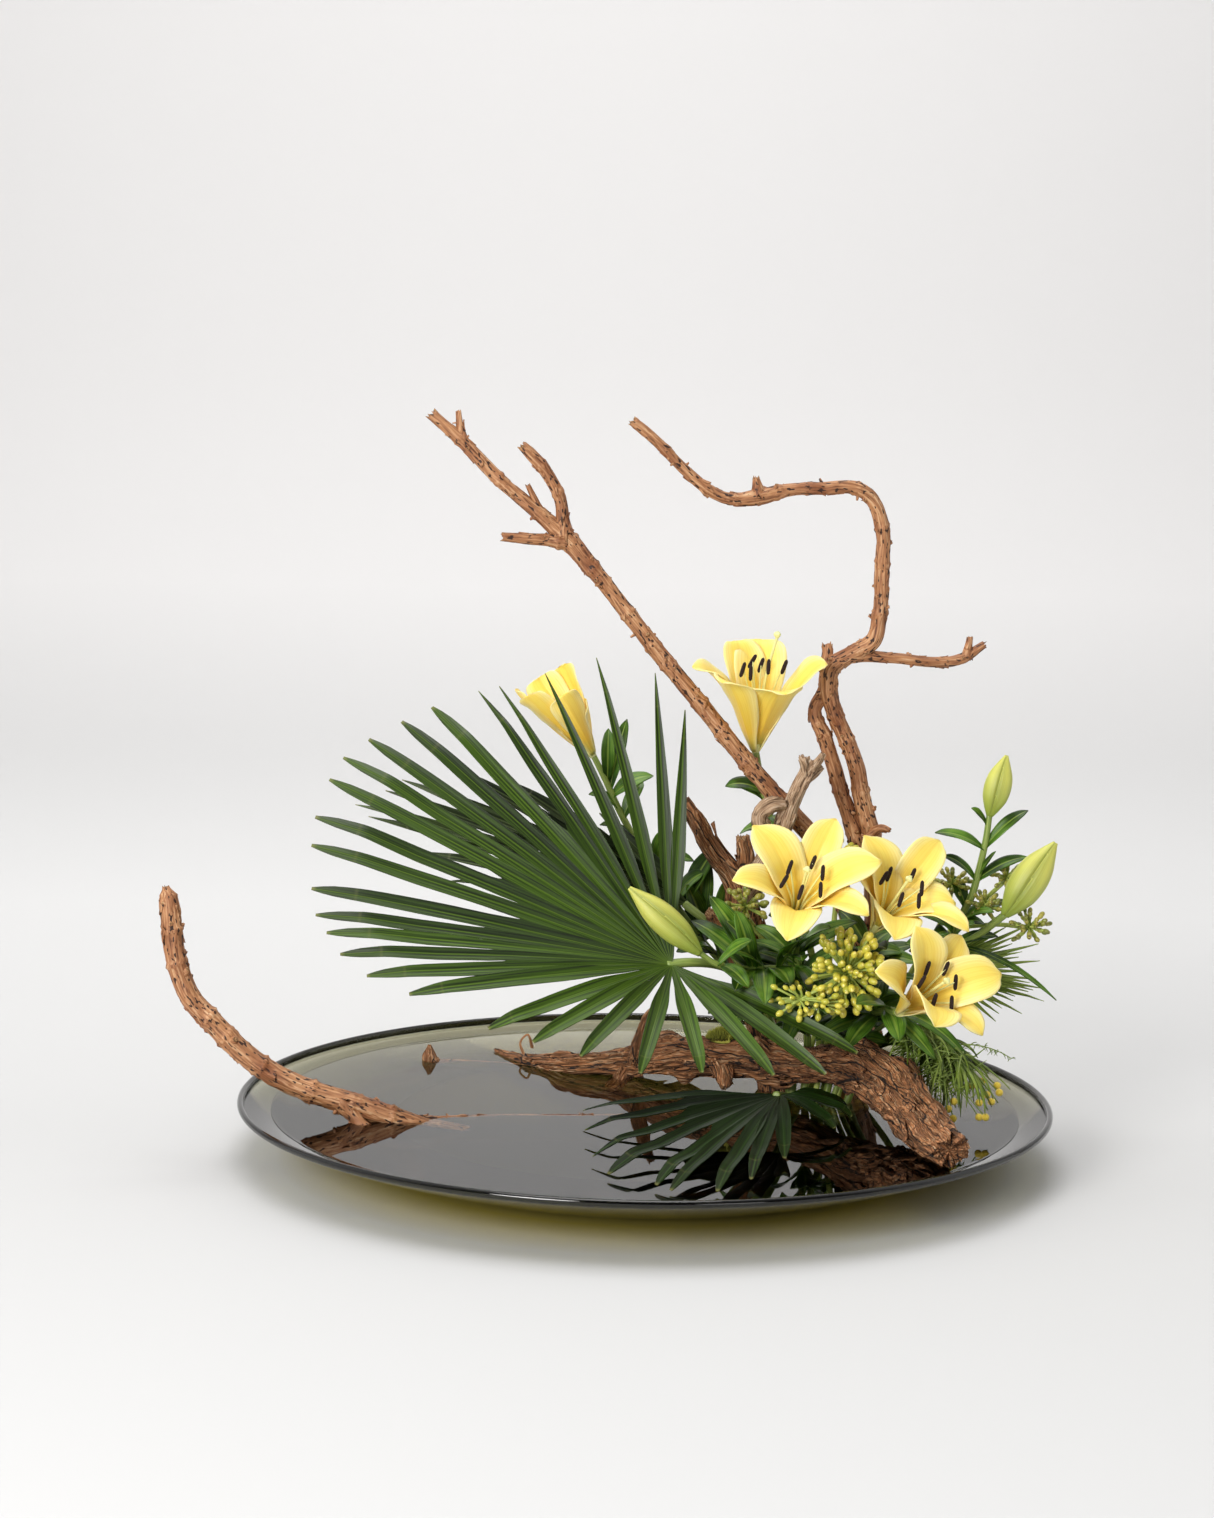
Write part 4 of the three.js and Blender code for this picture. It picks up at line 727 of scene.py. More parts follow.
def driftwood_skin(trunk, limbs, seed, sides, pale_limbs):
    def eroded(length, turn, radius):
        bumps = ripple(turn, length / 30 + seed, 1.1)
        twist = turn + 0.5 * ripple(turn, length / 45 + seed * 2, 1)
        furrow = abs(ripple(twist, length / 55 + seed * 5, 3.6)) ** 0.7
        flake = max(0.0, ripple(turn, length / 26 + seed * 7, 2.4) - 0.12)
        terrace = math.floor(4 * furrow + 0.6 * bumps) / 4
        plank = 0.09 * math.cos(2 * turn + length / 70 + seed) + 0.05 * math.cos(3 * turn - length / 38)
        knot = max(0.0, ripple(turn, length / 24 + seed * 3, 1.6) - 0.22)
        worn = 1 + plank + 0.14 * bumps + 0.17 * (furrow - 0.45) + 0.2 * (terrace - 0.4)
        return radius * (worn + 0.18 * flake + 0.9 * knot)

    random.seed(seed)
    skin = Skin()
    frames = skin.tube(trunk, 1.5, sides, eroded, ends=(1, 0), ragged=0.9)
    skin.flakes(frames, eroded, round(frames[-1][5] / 7), (62, 10), 3.6)
    for n, limb in enumerate(limbs):
        first, stout = len(skin.faces), limb[0][3] > TWIG
        around = 30 if stout else 12
        frames = skin.tube(limb, 1.5, around, eroded, ends=(0, 1), shift=1000.0 * (n + 1), ragged=1.0)
        if stout:
            skin.flakes(frames, eroded, round((frames[-1][5] - frames[0][5]) / 9), (20, 6), 2.4)
        if n in pale_limbs:
            skin.repaint(first, 2)
    return skin


# %% Log and stump
for name, trunk, limbs, seed, sides, pale_limbs in (
    ("driftwood_log", LOG, LOG_LIMBS, 5, 72, ()),
    ("driftwood_upright", UPRIGHT, UPRIGHT_LIMBS + KNUCKLE, 19, 52, (2, 5, 6, 7, 8)),
):
    skin = driftwood_skin(trunk, limbs, seed, sides, pale_limbs)
    hand_over(skin.build(name + "_wood", weathered, split_wood, bleached), name)

# %% [markdown]
# ## Fan palm leaves
# A fan palm leaf is one blade, folded like a fan: each segment is a V about its rib, and some
# neighbours stay joined for about half their length, others only near the hub. The free ends
# taper, and many are cut blunt. The blade is made as one sheet, so that joined segments share
# their edges, and the Solidify modifier then gives it its thickness of 0.7 mm.

# %% Palm leaf materials
def palm_material(name, colours, tip, vein, gloss):
    made, tree = material(name, Roughness=0.42, Specular_IOR_Level=gloss)
    place = add(tree, "UVMap", uv_map="leaf")
    parts = add(tree, "SeparateXYZ", {0: place})
    lines = add(tree, "Mapping", {0: place, 3: (1 / 1.5, 1 / 110, 1)})
    fine = add(tree, "TexNoise", {"Vector": lines, "Scale": 1.0, "Detail": 3.0})
    broad = add(tree, "Attribute", attribute_name="shade").outputs["Fac"]
    tone = add(tree, "ValToRGB", {0: broad}, [(0.0, colours[0]), (1.0, colours[1])])
    # fine light lines along each segment: the veins' own colour, and painted sheen in their light streaks
    veins_and_painted_sheen = add(tree, "ValToRGB", {0: fine}, [(0.36, "#48513a"), (0.5, "#bcc4a4"), (0.66, "#ffffff")])
    green = blend(tree, 0.9, tone, veins_and_painted_sheen, "MULTIPLY")
    away = add(tree, "Math", {0: parts}, operation="ABSOLUTE")
    rib = add(tree, "MapRange", {0: away, 1: 0.25, 2: 0.7, 3: 0.45, 4: 0.0})
    ribbed = blend(tree, rib, green, tint(vein))
    share = add(tree, "Attribute", attribute_name="share").outputs["Fac"]
    band = [(0.0, "#000000"), (0.872, "#000000"), (0.877, "#6a6a6a"), (0.884, "#101010")]
    dry = add(tree, "ValToRGB", {0: share}, [*band, (0.985, "#202020"), (1.0, "#c0c0c0")])
    paint(tree, blend(tree, dry, ribbed, tint(tip)), fine, 0.8, 0.5)
    return made


palm_green = palm_material("fan palm leaf, fresh", ("#1d2e0a", "#55741c"), "#8f8a52", "#5f7a26", 0.28)
# painted shade: a darker, less glossy copy of the leaf colours for the front leaf, which lies in the shade
# of the foliage above
palm_painted_shade = palm_material("fan palm leaf, in shade", ("#0f1c07", "#243c10"), "#8f8a52", "#33501a", 0.14)
# painted light: a lighter copy of the leaf colours for the small torn leaf at the right, which the others
# shade
palm_painted_light = palm_material("fan palm leaf, painted light", ("#6f8a34", "#b4c468"), "#a8a45e", "#a9bf58", 0.28)
palm_pale = palm_material("fan palm leaf, underside", ("#2c3a20", "#5d6e42"), "#c4bf98", "#64734a", 0.2)
stalk_stops = [(0.3, "#5f7a33"), (0.7, "#9aa954")]
stalk_green = fibrous("leaf stalk, waxy", 0.45, 3.0, (0.9, 26), stalk_stops, 0.4, 0.3)
print("palm materials:", palm_green.name, "-", palm_painted_shade.name, "-", palm_painted_light.name, "-", palm_pale.name)

# %% Palm leaf shapes
# each fan: its tips in order, the segments joined for half their length and those with a blunt tip
PALM_LARGE = {
    "hub": [19, -25, 159],
    "facing": [0.05, -0.86, 0.5],
    "arch": 7,
    "widest": 6.6,
    "tips": [
        [27, 10, 357], [3, 12, 385], [-43, 18, 396], [-83, 20, 383], [-119, 18, 372], [-135, 14, 369],
        [-171, 8, 356], [-194, 0, 345], [-219, -8, 332], [-238, -16, 318], [-248, -24, 302],
        [-258, -34, 274], [-260, -42, 253], [-259, -52, 221], [-255, -60, 202], [-246, -66, 189],
        [-235, -72, 174], [-214, -80, 159], [-181, -90, 147], [-120, -105, 125], [-86, -115, 117],
        [-50, -125, 109], [-5, -135, 99], [41, -135, 100], [95, -130, 98], [135, -115, 96], [160, -95, 108],
    ],
    "joined": range(4, 17),
    "blunt": range(6, 27),
}
PALM_BACK = {
    "hub": [34, 48, 194],
    "facing": [0.05, -0.9, 0.42],
    "arch": 6,
    "widest": 8,
    "tips": [
        [-39, 58, 267], [-113, 60, 292], [-159, 58, 303], [-197, 54, 292], [-210, 52, 283], [-234, 50, 272],
        [-223, 46, 263], [-185, 40, 236], [-157, 34, 214],
    ],
    "joined": range(9),
    "blunt": (),
}
PALM_FRONT = {
    "hub": [104, -50, 63],
    "facing": [0, -0.25, 0.97],
    "arch": 4,
    "widest": 6.4,
    "tips": [
        [-48, -54, 52], [-46, -113, 50], [-40, -183, 48], [-28, -228, 47], [6, -256, 46], [16, -266, 46],
        [49, -268, 46], [74, -239, 47], [101, -181, 49], [143, -106, 53], [158, -76, 55], [157, -40, 56],
    ],
    "joined": range(6),
    "blunt": range(3, 12),
}
PALM_RIGHT = {
    "hub": [232, 44, 151],
    "facing": [-0.1, -0.8, 0.6],
    "arch": -3,
    "widest": 2.6,
    "tips": [
        [275, -6, 114], [296, 0, 119], [314, 6, 128], [314, 12, 137], [309, 18, 143], [312, 22, 157],
        [311, 26, 170], [304, 30, 185], [292, 34, 201],
    ],
    "joined": (),
    "blunt": (),
}
# the small leaf at the right is torn into strips, so each measured segment becomes three
strips = []
hub = Vector(PALM_RIGHT["hub"])
for first, second in zip(PALM_RIGHT["tips"], PALM_RIGHT["tips"][1:]):
    for k in range(3):
        way = Vector(first).lerp(Vector(second), k / 3) - hub
        strips.append(hub + way * (1 - 0.16 * (k > 0) * (1 + 0.5 * uneven(len(strips), 4))))
PALM_RIGHT["tips"] = [*strips, PALM_RIGHT["tips"][-1]]
PETIOLES = {
    "large": [
        [15, -23, 159, 4], [35, -18, 160, 3.6], [62, 5, 152, 3.4], [90, 30, 128, 3.4], [114, 53, 90, 3.4],
        [120, 54, 55, 3.4], [117, 45, SEAT, 3.4],
    ],
    "back": [
        [30, 49, 195, 3.4], [52, 40, 178, 3], [80, 39, 140, 3], [103, 58, 95, 3], [114, 59, 58, 3],
        [121, 53, SEAT, 3],
    ],
    "front": [
        [101, -55, 64, 3], [110, -22, 56, 2.6], [120, 5, 46, 2.6], [127, 22, 33, 2.6], [129, 23, SEAT, 2.6],
    ],
    "right": [
        [236, 42, 155, 3], [221, 52, 132, 2.8], [206, 72, 95, 2.8], [172, 80, 50, 2.8], [155, 75, SEAT, 2.8],
    ],
}

# rows along a segment as shares of its length, the widths of its free end, pointed or blunt, and
# its columns from one edge to the other
SHARES = [
    0.03, 0.07, 0.12, 0.18, 0.24, 0.3, 0.36, 0.42, 0.48, 0.52, 0.56, 0.61, 0.66, 0.71, 0.76, 0.81, 0.85,
    0.87, 0.9, 0.94, 0.97, 1.0,
]
FREE = [1.0, 0.94, 0.92, 0.88, 0.81, 0.73, 0.63, 0.51, 0.37, 0.21, 0.04]
BLUNT = [1.0, 0.95, 0.97, 0.99, 0.99, 0.97, 0.93, 0.87, 0.78, 0.62, 0.2]
ACROSS = [-1.0, -0.66, -0.33, 0.0, 0.33, 0.66, 1.0]
PLEAT, BARELY, HALFWAY = 0.3, 0.13, 0.5  # depth of the folds, and how far out neighbours are joined
PALM_SHEET = 0.7  # thickness


def palm_leaf(name, shape, petiole, surface, seed, bright):
    """Blade sheet with thickness, joined to its stalk."""
    centre = Vector(shape["hub"])
    face = Vector(shape["facing"]).normalized()
    ends = [Vector(tip) for tip in shape["tips"]]
    arch, widest = shape["arch"], shape["widest"]
    points, faces, uvs, shades, shares = [centre], [], [], [], [0.0]

    def put(point, t):
        points.append(point)
        shares.append(t)
        return len(points) - 1

    def joined_to(i):
        return HALFWAY + 0.035 * uneven(i, seed) if i in shape["joined"] else BARELY

    def rib_at(i, t):
        line = centre.lerp(ends[i], t)
        size = (ends[i] - centre).length
        kink = max(0.0, 1 - abs(t - 0.86) / 0.14) * size * (0.012 + 0.012 * uneven(i, seed + 1))
        sway = 1.6 * math.sin(t * 5 + i * 2.3) * t
        return line + face * (arch * 4 * t * (1 - t) - arch * 0.6 * t**4 + kink + 0.4 * sway)

    before = []
    for i, end in enumerate(ends):
        toward = (end - centre).normalized()
        side = face.cross(toward).normalized()
        size = (end - centre).length
        after, columns = [], []
        for k, t in enumerate(SHARES):
            rib = rib_at(i, t)
            row = []
            for other, way in ((i - 1, -1), (i + 1, 1)):
                inside = 0 <= other < len(ends)
                angle = (ends[other] - centre).angle(toward) if inside else 0.1
                split = joined_to(min(i, other)) if inside else BARELY
                if inside and t <= split and way < 0:
                    row.append(before[k])
                elif inside and t <= split:
                    meeting = rib.lerp(rib_at(other, t), 0.5)
                    meeting += face * PLEAT * (meeting - rib).length
                    row.append(put(meeting, t))
                    after.append(row[-1])
                else:
                    out = max(0.0, (t - split) / (1 - split))
                    start = min(split * size * math.tan(angle / 2), widest)
                    full = max(start, widest * (0.78 if split > 0.3 else 1.0))
                    ease = min(out / 0.35, 1.0)
                    taper = eased(BLUNT if i in shape["blunt"] else FREE, out)
                    width = (start + (full - start) * ease * ease * (3 - 2 * ease)) * taper
                    wave = 0.25 * math.sin(t * 21 + i * 1.7 + way) * out
                    row.append(put(rib + side * way * width + face * (PLEAT * width + wave), t))
            left, right = (points[p] for p in row)
            line = [row[0]]
            for a in ACROSS[1:-1]:
                edge = left if a < 0 else right
                sag = face * 0.12 * (edge - rib).length * abs(a) * (1 - abs(a)) * 4 * PLEAT
                line.append(put(rib.lerp(edge, abs(a)) - sag, t))
            columns.append([*line, row[1]])
        before = after
        # each segment's tone is partly random, its own colour, and partly painted light and shade from
        # `bright`, lighter or darker as the light falls on the fan
        tone = 0.5 + 0.5 * uneven(i, seed + 2)
        if bright:
            tone = tone * 0.5 + 0.5 * mixed(bright, i / (len(ends) - 1))
        widths = [
            [(points[p] - points[line[3]]).length * (1 if a >= 0 else -1) for p, a in zip(line, ACROSS)]
            for line in columns
        ]
        spots = [[(w, size * t) for w in row] for row, t in zip(widths, SHARES)]
        for c in range(6):
            faces.append((columns[0][c + 1], columns[0][c], 0))
            uvs += [spots[0][c + 1], spots[0][c], (0, 0)]
            for k in range(len(SHARES) - 1):
                low, high = columns[k], columns[k + 1]
                faces.append((low[c], low[c + 1], high[c + 1], high[c]))
                uvs += [spots[k][c], spots[k][c + 1], spots[k + 1][c + 1], spots[k + 1][c]]
            # painted light and shade: one half of each fold is lighter, the other darker
            shades += [tone + (0.13 if c > 2 else -0.13)] * len(SHARES)
    mesh = bpy.data.meshes.new(name)
    mesh.from_pydata([p * MM for p in points], [], faces)
    mesh.uv_layers.new(name="leaf").data.foreach_set("uv", [c for uv in uvs for c in uv])
    mesh.attributes.new("shade", "FLOAT", "FACE").data.foreach_set("value", shades)
    mesh.attributes.new("share", "FLOAT", "POINT").data.foreach_set("value", shares)
    blade = linked(name, mesh, surface)
    alone(blade)
    apply_modifier(blade, "SOLIDIFY", thickness=PALM_SHEET * MM, offset=0)
    bpy.ops.object.shade_smooth_by_angle(angle=math.radians(35))
    stalk = Skin()
    stalk.tube(petiole, 2.5, 16)
    return joined([blade, stalk.build(name + "_stalk", stalk_green)], name)


# %% Four palm leaves
# the last list on each row is painted light and shade along the fan, from its first segment to its last
for key, shape, surface, seed, slot, bright in (
    ("large", PALM_LARGE, palm_green, 3, "palm_green", [0.1, 0.2, 0.3, 0.25, 0.4, 0.7, 0.75, 0.5]),
    ("back", PALM_BACK, palm_pale, 8, "palm_pale", None),
    ("front", PALM_FRONT, palm_painted_shade, 13, "palm_green", [0.1, 0.5, 0.9, 0.6]),
    ("right", PALM_RIGHT, palm_painted_light, 21, "palm_green", [0.3, 0.8]),
):
    leaf = palm_leaf(f"palm_{key}_blade", shape, PETIOLES[key], surface, seed, bright)
    hand_over(leaf, f"palm_leaf_{key}")

# %% [markdown]
# ## Lilies
# A lily has six tepals in two rings of three, six filaments with a hinged anther each, and one
# pistil. Each tepal rises from the throat, swells outwards and turns back at its tip, has a
# groove along its middle and a waving margin. It is a sheet along a curve, thickened afterwards.
# The anthers are nearly black, and their long bodies swing freely, so no two lie the same way.

# %% Petal materials
def petal_material(name, throat, middle, edge, back):
    glow = {"Subsurface_Weight": 0.25, "Subsurface_Scale": 0.004, "Subsurface_Radius": (1.0, 0.7, 0.25)}
    made, tree = material(name, Roughness=0.48, **glow)
    place = add(tree, "UVMap", uv_map="petal")
    parts = add(tree, "SeparateXYZ", {0: place})
    stops = [(0.0, back), (0.18, throat), (0.62, middle), (1.0, middle)]
    length = add(tree, "ValToRGB", {0: parts.outputs[1]}, stops)
    away = add(tree, "Math", {0: parts}, operation="ABSOLUTE")
    rim = add(tree, "MapRange", {0: away, 1: 0.45, 2: 1.0, 3: 0.0, 4: 0.75})
    rib = add(tree, "MapRange", {0: away, 1: 0.02, 2: 0.13, 3: 0.35, 4: 0.0})
    ribbed = blend(tree, rib, blend(tree, rim, length, tint(edge)), tint(throat))
    lines = add(tree, "Mapping", {0: place, 3: (16, 1.4, 1)})
    veins = add(tree, "TexNoise", {"Vector": lines, "Scale": 1.0, "Detail": 3.0})
    shade = add(tree, "ValToRGB", {0: veins}, [(0.3, "#f3e7bd"), (0.65, "#ffffff")])
    paint(tree, blend(tree, 0.8, ribbed, shade, "MULTIPLY"), veins, 0.35, 0.5)
    return made


petal = petal_material("lily tepal, soft yellow", "#f2c84c", "#ffe06c", "#fff3b8", "#c6c768")
# painted shade: the buds' edge colour is a darker green, so the creases along the seams show as dark lines
bud_skin = petal_material("lily bud, closed tepals", "#97aa48", "#c9cc68", "#7f8c38", "#7f9a42")
filament = material("lily filament, waxy", Roughness=0.4, Base_Color=tint("#dfe09a"))[0]
anther = fibrous("anther with dark pollen", 0.9, 2.0, (0.6, 0.6), [(0.35, "#0d0706"), (0.7, "#2e1512")])
print("lily materials:", petal.name, "-", bud_skin.name, "-", filament.name, "-", anther.name)

# %% Sheets along a curve
class Sheet(Skin):
    """Thin pieces such as tepals and leaves, with a UV map across (-1 to 1) and along (0 to 1)."""

    def __init__(self):
        super().__init__()
        self.uvs = []

    def strip(self, rows, across):
        ids = []
        for i, row in enumerate(rows):
            t = i / (len(rows) - 1)
            ids.append([self.point(place, (a, t, 0)) for a, place in zip(across, row)])
            self.uvs += [(a, t) for a in across]
        for low, high in zip(ids, ids[1:]):
            for c in range(len(across) - 1):
                self.face(low[c], low[c + 1], high[c + 1], high[c])

    def thick(self, name, layer, thickness, surface):
        made = self.build(name, surface)
        uv = made.data.uv_layers.new(name=layer)
        for loop in made.data.loops:
            uv.data[loop.index].uv = self.uvs[loop.vertex_index]
        alone(made)
        apply_modifier(made, "SOLIDIFY", thickness=thickness * MM, offset=0)
        return made


# %% Bloom shapes
BLOOMS = {
    "top": {
        "base": [84, 42, 321],
        "axis": [0.04, -0.27, 0.96],
        "tips": [
            [138, 22, 391], [87, 72, 406], [67, 64, 405], [32, 14, 388], [54, -23, 380], [103, -27, 372],
        ],
        "flare": [0.3, 0.72],
        "stigma": 97,
        "anthers": 0.72,
        "lean": (10, 0, 0),
        "wide": 20,
        "narrow": 16,
    },
    "left": {
        "base": [-46, 80, 311],
        "axis": [-0.55, -0.06, 0.83],
        "tips": [
            [-107, 75, 362], [-90, 100, 369], [-71, 95, 380], [-52, 80, 355], [-70, 52, 360], [-97, 56, 359],
        ],
        "flare": [0.72, 1.1],
        "stigma": 0,
        "wide": 15,
        "narrow": 13,
    },
    "centre": {
        "base": [112, -43, 198],
        "axis": [0.12, -0.6, 0.79],
        "tips": [
            [143, -32, 277], [79, -48, 273], [62, -98, 238], [102, -131, 199], [164, -110, 215],
            [177, -63, 249],
        ],
    },
    "right": {
        "base": [176, -25, 190],
        "axis": [0.39, -0.51, 0.76],
        "tips": [
            [226, -9, 258], [166, -30, 264], [149, -54, 247], [184, -108, 197], [243, -80, 199],
            [237, -39, 213],
        ],
    },
    "low": {
        "base": [193, -71, 134],
        "axis": [0.53, -0.64, 0.55],
        "tips": [
            [238, -69, 194], [201, -95, 205], [168, -133, 177], [212, -146, 139], [251, -119, 127],
            [269, -77, 166],
        ],
    },
}
TEPAL_WIDTH = [0.16, 0.32, 0.5, 0.7, 0.88, 1.0, 1.05, 1.02, 0.9, 0.62, 0.05]
TEPAL_CUP = [0.3, 0.36, 0.4, 0.36, 0.28, 0.16, 0.0]
FINE_ACROSS = [-1, -0.85, -0.65, -0.42, -0.2, -0.07, 0, 0.07, 0.2, 0.42, 0.65, 0.85, 1]
TEPAL_ROWS = 26
TEPAL_SHEET, LEAF_SHEET, NEEDLE_SHEET = 0.8, 0.6, 0.5  # thickness


def bezier(a, b, c, d, t):
    u = 1 - t
    return a * u**3 + b * 3 * u * u * t + c * 3 * u * t * t + d * t**3


def tepal_rows(base, axis, tip, widest, outer, flare, seed):
    to = tip - base
    height = to.dot(axis)
    out = to - axis * height
    spread = out.length
    radial = out.normalized()
    ends = [
        base + axis * (-1 if outer else 3) + radial * (3.2 if outer else 1.6),
        base + axis * height * 0.5 + radial * spread * (flare[0] + (0.12 if outer else 0)),
        base + axis * height * 1.08 + radial * spread * (flare[1] + (0.07 if outer else 0)),
        tip,
    ]
    side = axis.cross(radial).normalized()
    rows = []
    for t in (i / TEPAL_ROWS for i in range(TEPAL_ROWS + 1)):
        place = bezier(*ends, t)
        tangent = (bezier(*ends, min(t + 0.01, 1)) - bezier(*ends, max(t - 0.01, 0))).normalized()
        inward = side.cross(tangent).normalized()
        if inward.dot(radial) > 0:
            inward.negate()
        half = max(widest * eased(TEPAL_WIDTH, t), 0.5)
        cup = eased(TEPAL_CUP, t)
        row = []
        for a in FINE_ACROSS:
            lift = cup * half * abs(a) ** 1.5
            groove = -0.7 * math.exp(-((a / 0.09) ** 2)) * min(1, 3 * t) * (1 - t)
            swell = math.sin(17 * t + seed + (1.4 if a > 0 else 0))
            wave = abs(a) ** 3 * 1.5 * swell * min(1, 2.5 * t) * (1 - 0.6 * t)
            twist = 0.10 * half * a * math.sin(2.2 * t + seed)
            row.append(place + side * a * half + inward * (lift + groove + wave + twist))
        rows.append(row)
    return rows


def lobed(lobes, depth):
    """Radius that swells and shrinks round the rod, `lobes` times."""
    return lambda length, turn, radius: radius * (1 + depth * math.cos(lobes * turn))


OPEN_BLOOM = {
    "wide": 18.5,
    "narrow": 14.5,
    "flare": (0.12, 0.48),
    "stigma": 58,
    "anthers": 0.86,
    "lean": (0, 0, 0),
}


def make_bloom(name, base, axis, tips, wide, narrow, flare, stigma, anthers, lean):
    """Tepals in two rings; stigma is the pistil's length, and anthers how far up it they hang."""
    base, axis, lean = Vector(base), Vector(axis).normalized(), Vector(lean)
    petals = Sheet()
    for i, tip in enumerate(tips):
        rows = tepal_rows(base, axis, Vector(tip), wide if i % 2 else narrow, i % 2 == 0, flare, 2.1 * i)
        petals.strip(rows, FINE_ACROSS)
    leaves = petals.thick(name + "_tepals", "petal", TEPAL_SHEET, petal)
    inner = Skin()
    foot = [(*(base + axis * up), r) for up, r in ((-3, 2.8), (1.5, 3.6), (6, 3.4))]
    inner.tube(foot, 1.5, 14, lobed(3, 0.05))
    if stigma:
        pistil = [(*(base + axis * 5), 1.4), (*(base + axis * stigma * 0.6 + lean * 0.3), 1.1)]
        inner.tube([*pistil, (*(base + axis * (stigma - 1) + lean), 1.2)], 3, 10)
        head = [(*(base + lean + axis * (stigma + up)), r) for up, r in ((-2, 1.3), (1, 2.7), (2.6, 1.8))]
        inner.tube(head, 0.8, 18, lobed(3, 0.22))
        for i, tip in enumerate(tips):
            radial = Vector(tip) - base
            radial = (radial - axis * radial.dot(axis)).normalized()
            reach = 15 + 3 * uneven(i, 5)
            tall = stigma * (anthers + 0.06 * uneven(i, 9))
            stalk = ((5, 2, 1.0), (tall * 0.55, reach * 0.42, 0.85), (tall, reach, 0.6))
            inner.tube([(*(base + axis * up + radial * out), r) for up, out, r in stalk], 3, 8)
            swing = level_up + level_right * (0.28 + 0.3 * uneven(i, 13)) + ahead * 0.3 * uneven(i, 2)
            swing.normalize()
            middle = base + axis * tall + radial * (reach + 0.8)
            body = ((-6.2, 0.4), (-5.2, 1.1), (-2, 1.4), (2, 1.4), (5.2, 1.1), (6.2, 0.4))
            first = len(inner.faces)
            inner.tube([(*(middle + swing * s), r) for s, r in body], 0.9, 12, lobed(2, -0.16))
            inner.repaint(first, 1)
    return joined([leaves, inner.build(name + "_organs", filament, anther)], name)


# %% Blooms
for key, shape in BLOOMS.items():
    bloom = make_bloom(f"lily_{key}_bloom", **{**OPEN_BLOOM, **shape})
    hand_over(bloom, f"lily_bloom_{key}")

# %% [markdown]
# ## Lily buds
# A closed bud shows only the three outer tepals, pressed edge to edge: three rounded sides with a
# narrow seam between them, longer than wide, and blunt at the tip.

# %% Buds
BUDS = {  # foot, tip, radius, and the turn that brings a seam to face the viewer, or nearly
    "front": ([40, -60, 175], [-15, -60, 225], 11.5, 0.1),
    "top": ([267, 10, 275], [279, 10, 323], 10.5, 0.8),
    "right": ([280, 0, 198], [318, 0, 256], 14, 0.9),
}
BUD_SHAPE = [0.25, 0.62, 0.9, 1, 0.98, 0.82, 0.5, 0.15]


def third(turn):
    """Place between one seam and the next, from 0 to 1."""
    return (turn / (2 * math.pi) * 3) % 1


for key, (foot, tip, radius, seam_turn) in BUDS.items():
    foot, tip = Vector(foot), Vector(tip)
    last = len(BUD_SHAPE) - 1
    stations = [(*foot.lerp(tip, i / last), share * radius) for i, share in enumerate(BUD_SHAPE)]

    def three_sided(length, turn, radius, seam_turn=seam_turn):
        turn = turn + seam_turn + length * 0.004
        seam = abs(third(turn) - 0.5) * 2
        groove = 0.17 * math.exp(-(((1 - seam) / 0.09) ** 2))
        return radius * (1.0 + 0.05 * math.cos(3 * turn + math.pi) - groove)

    skin = Skin()
    skin.tube(stations, 1.3, 72, three_sided, ragged=-0.35)
    bud = skin.build(f"lily_{key}_bud", bud_skin)
    size = (tip - foot).length
    uv = bud.data.uv_layers.new(name="petal")
    for loop in bud.data.loops:
        x, y, s = skin.grain[loop.vertex_index]
        turn = math.atan2(y, x) + seam_turn + s * 0.004
        uv.data[loop.index].uv = (third(turn) * 2 - 1, 0.1 + 0.8 * s / size)
    hand_over(bud, f"lily_bud_{key}")

# %% [markdown]
# ## Lily stems and leaves
# Lily leaves are lance shaped, without a stalk, and have parallel veins with a sunken midrib. Each
# stem carries its leaves all the way up. The sheet helper that made the tepals makes them too.

# %% Leaf material
def leaf_material(name, low, middle, high, rib_tone):
    made, tree = material(name, Roughness=0.34, Specular_IOR_Level=0.35)
    place = add(tree, "UVMap", uv_map="leaf")
    parts = add(tree, "SeparateXYZ", {0: place})
    away = add(tree, "Math", {0: parts}, operation="ABSOLUTE")
    lines = add(tree, "Mapping", {0: place, 3: (9, 1.1, 1)})
    veins = add(tree, "TexNoise", {"Vector": lines, "Scale": 1.0, "Detail": 2.0})
    body = add(tree, "ValToRGB", {0: veins}, [(0.3, low), (0.5, middle), (0.72, high)])
    light_stops = [(0.38, "#6f7d52"), (0.5, "#c4cfa4"), (0.62, "#ffffff")]
    light = add(tree, "ValToRGB", {0: specks(tree, 38.0)}, light_stops)
    along_stops = [(0.0, "#c8dd8e"), (0.3, "#ffffff"), (0.9, "#ffffff"), (1.0, "#d9c98a")]
    along = add(tree, "ValToRGB", {0: parts.outputs[1]}, along_stops)
    tinted = blend(tree, 1.0, blend(tree, 1.0, body, light, "MULTIPLY"), along, "MULTIPLY")
    rib = add(tree, "MapRange", {0: away, 1: 0.03, 2: 0.14, 3: 0.7, 4: 0.0})
    paint(tree, blend(tree, rib, tinted, tint(rib_tone)), veins, 0.4, 0.4)
    return made


leaf_green = leaf_material("lily leaf", "#34561a", "#547f28", "#8eaa42", "#8ea444")
spray_green = leaf_material("spray leaf, soft", "#4f6422", "#788e34", "#a5b350", "#95a648")

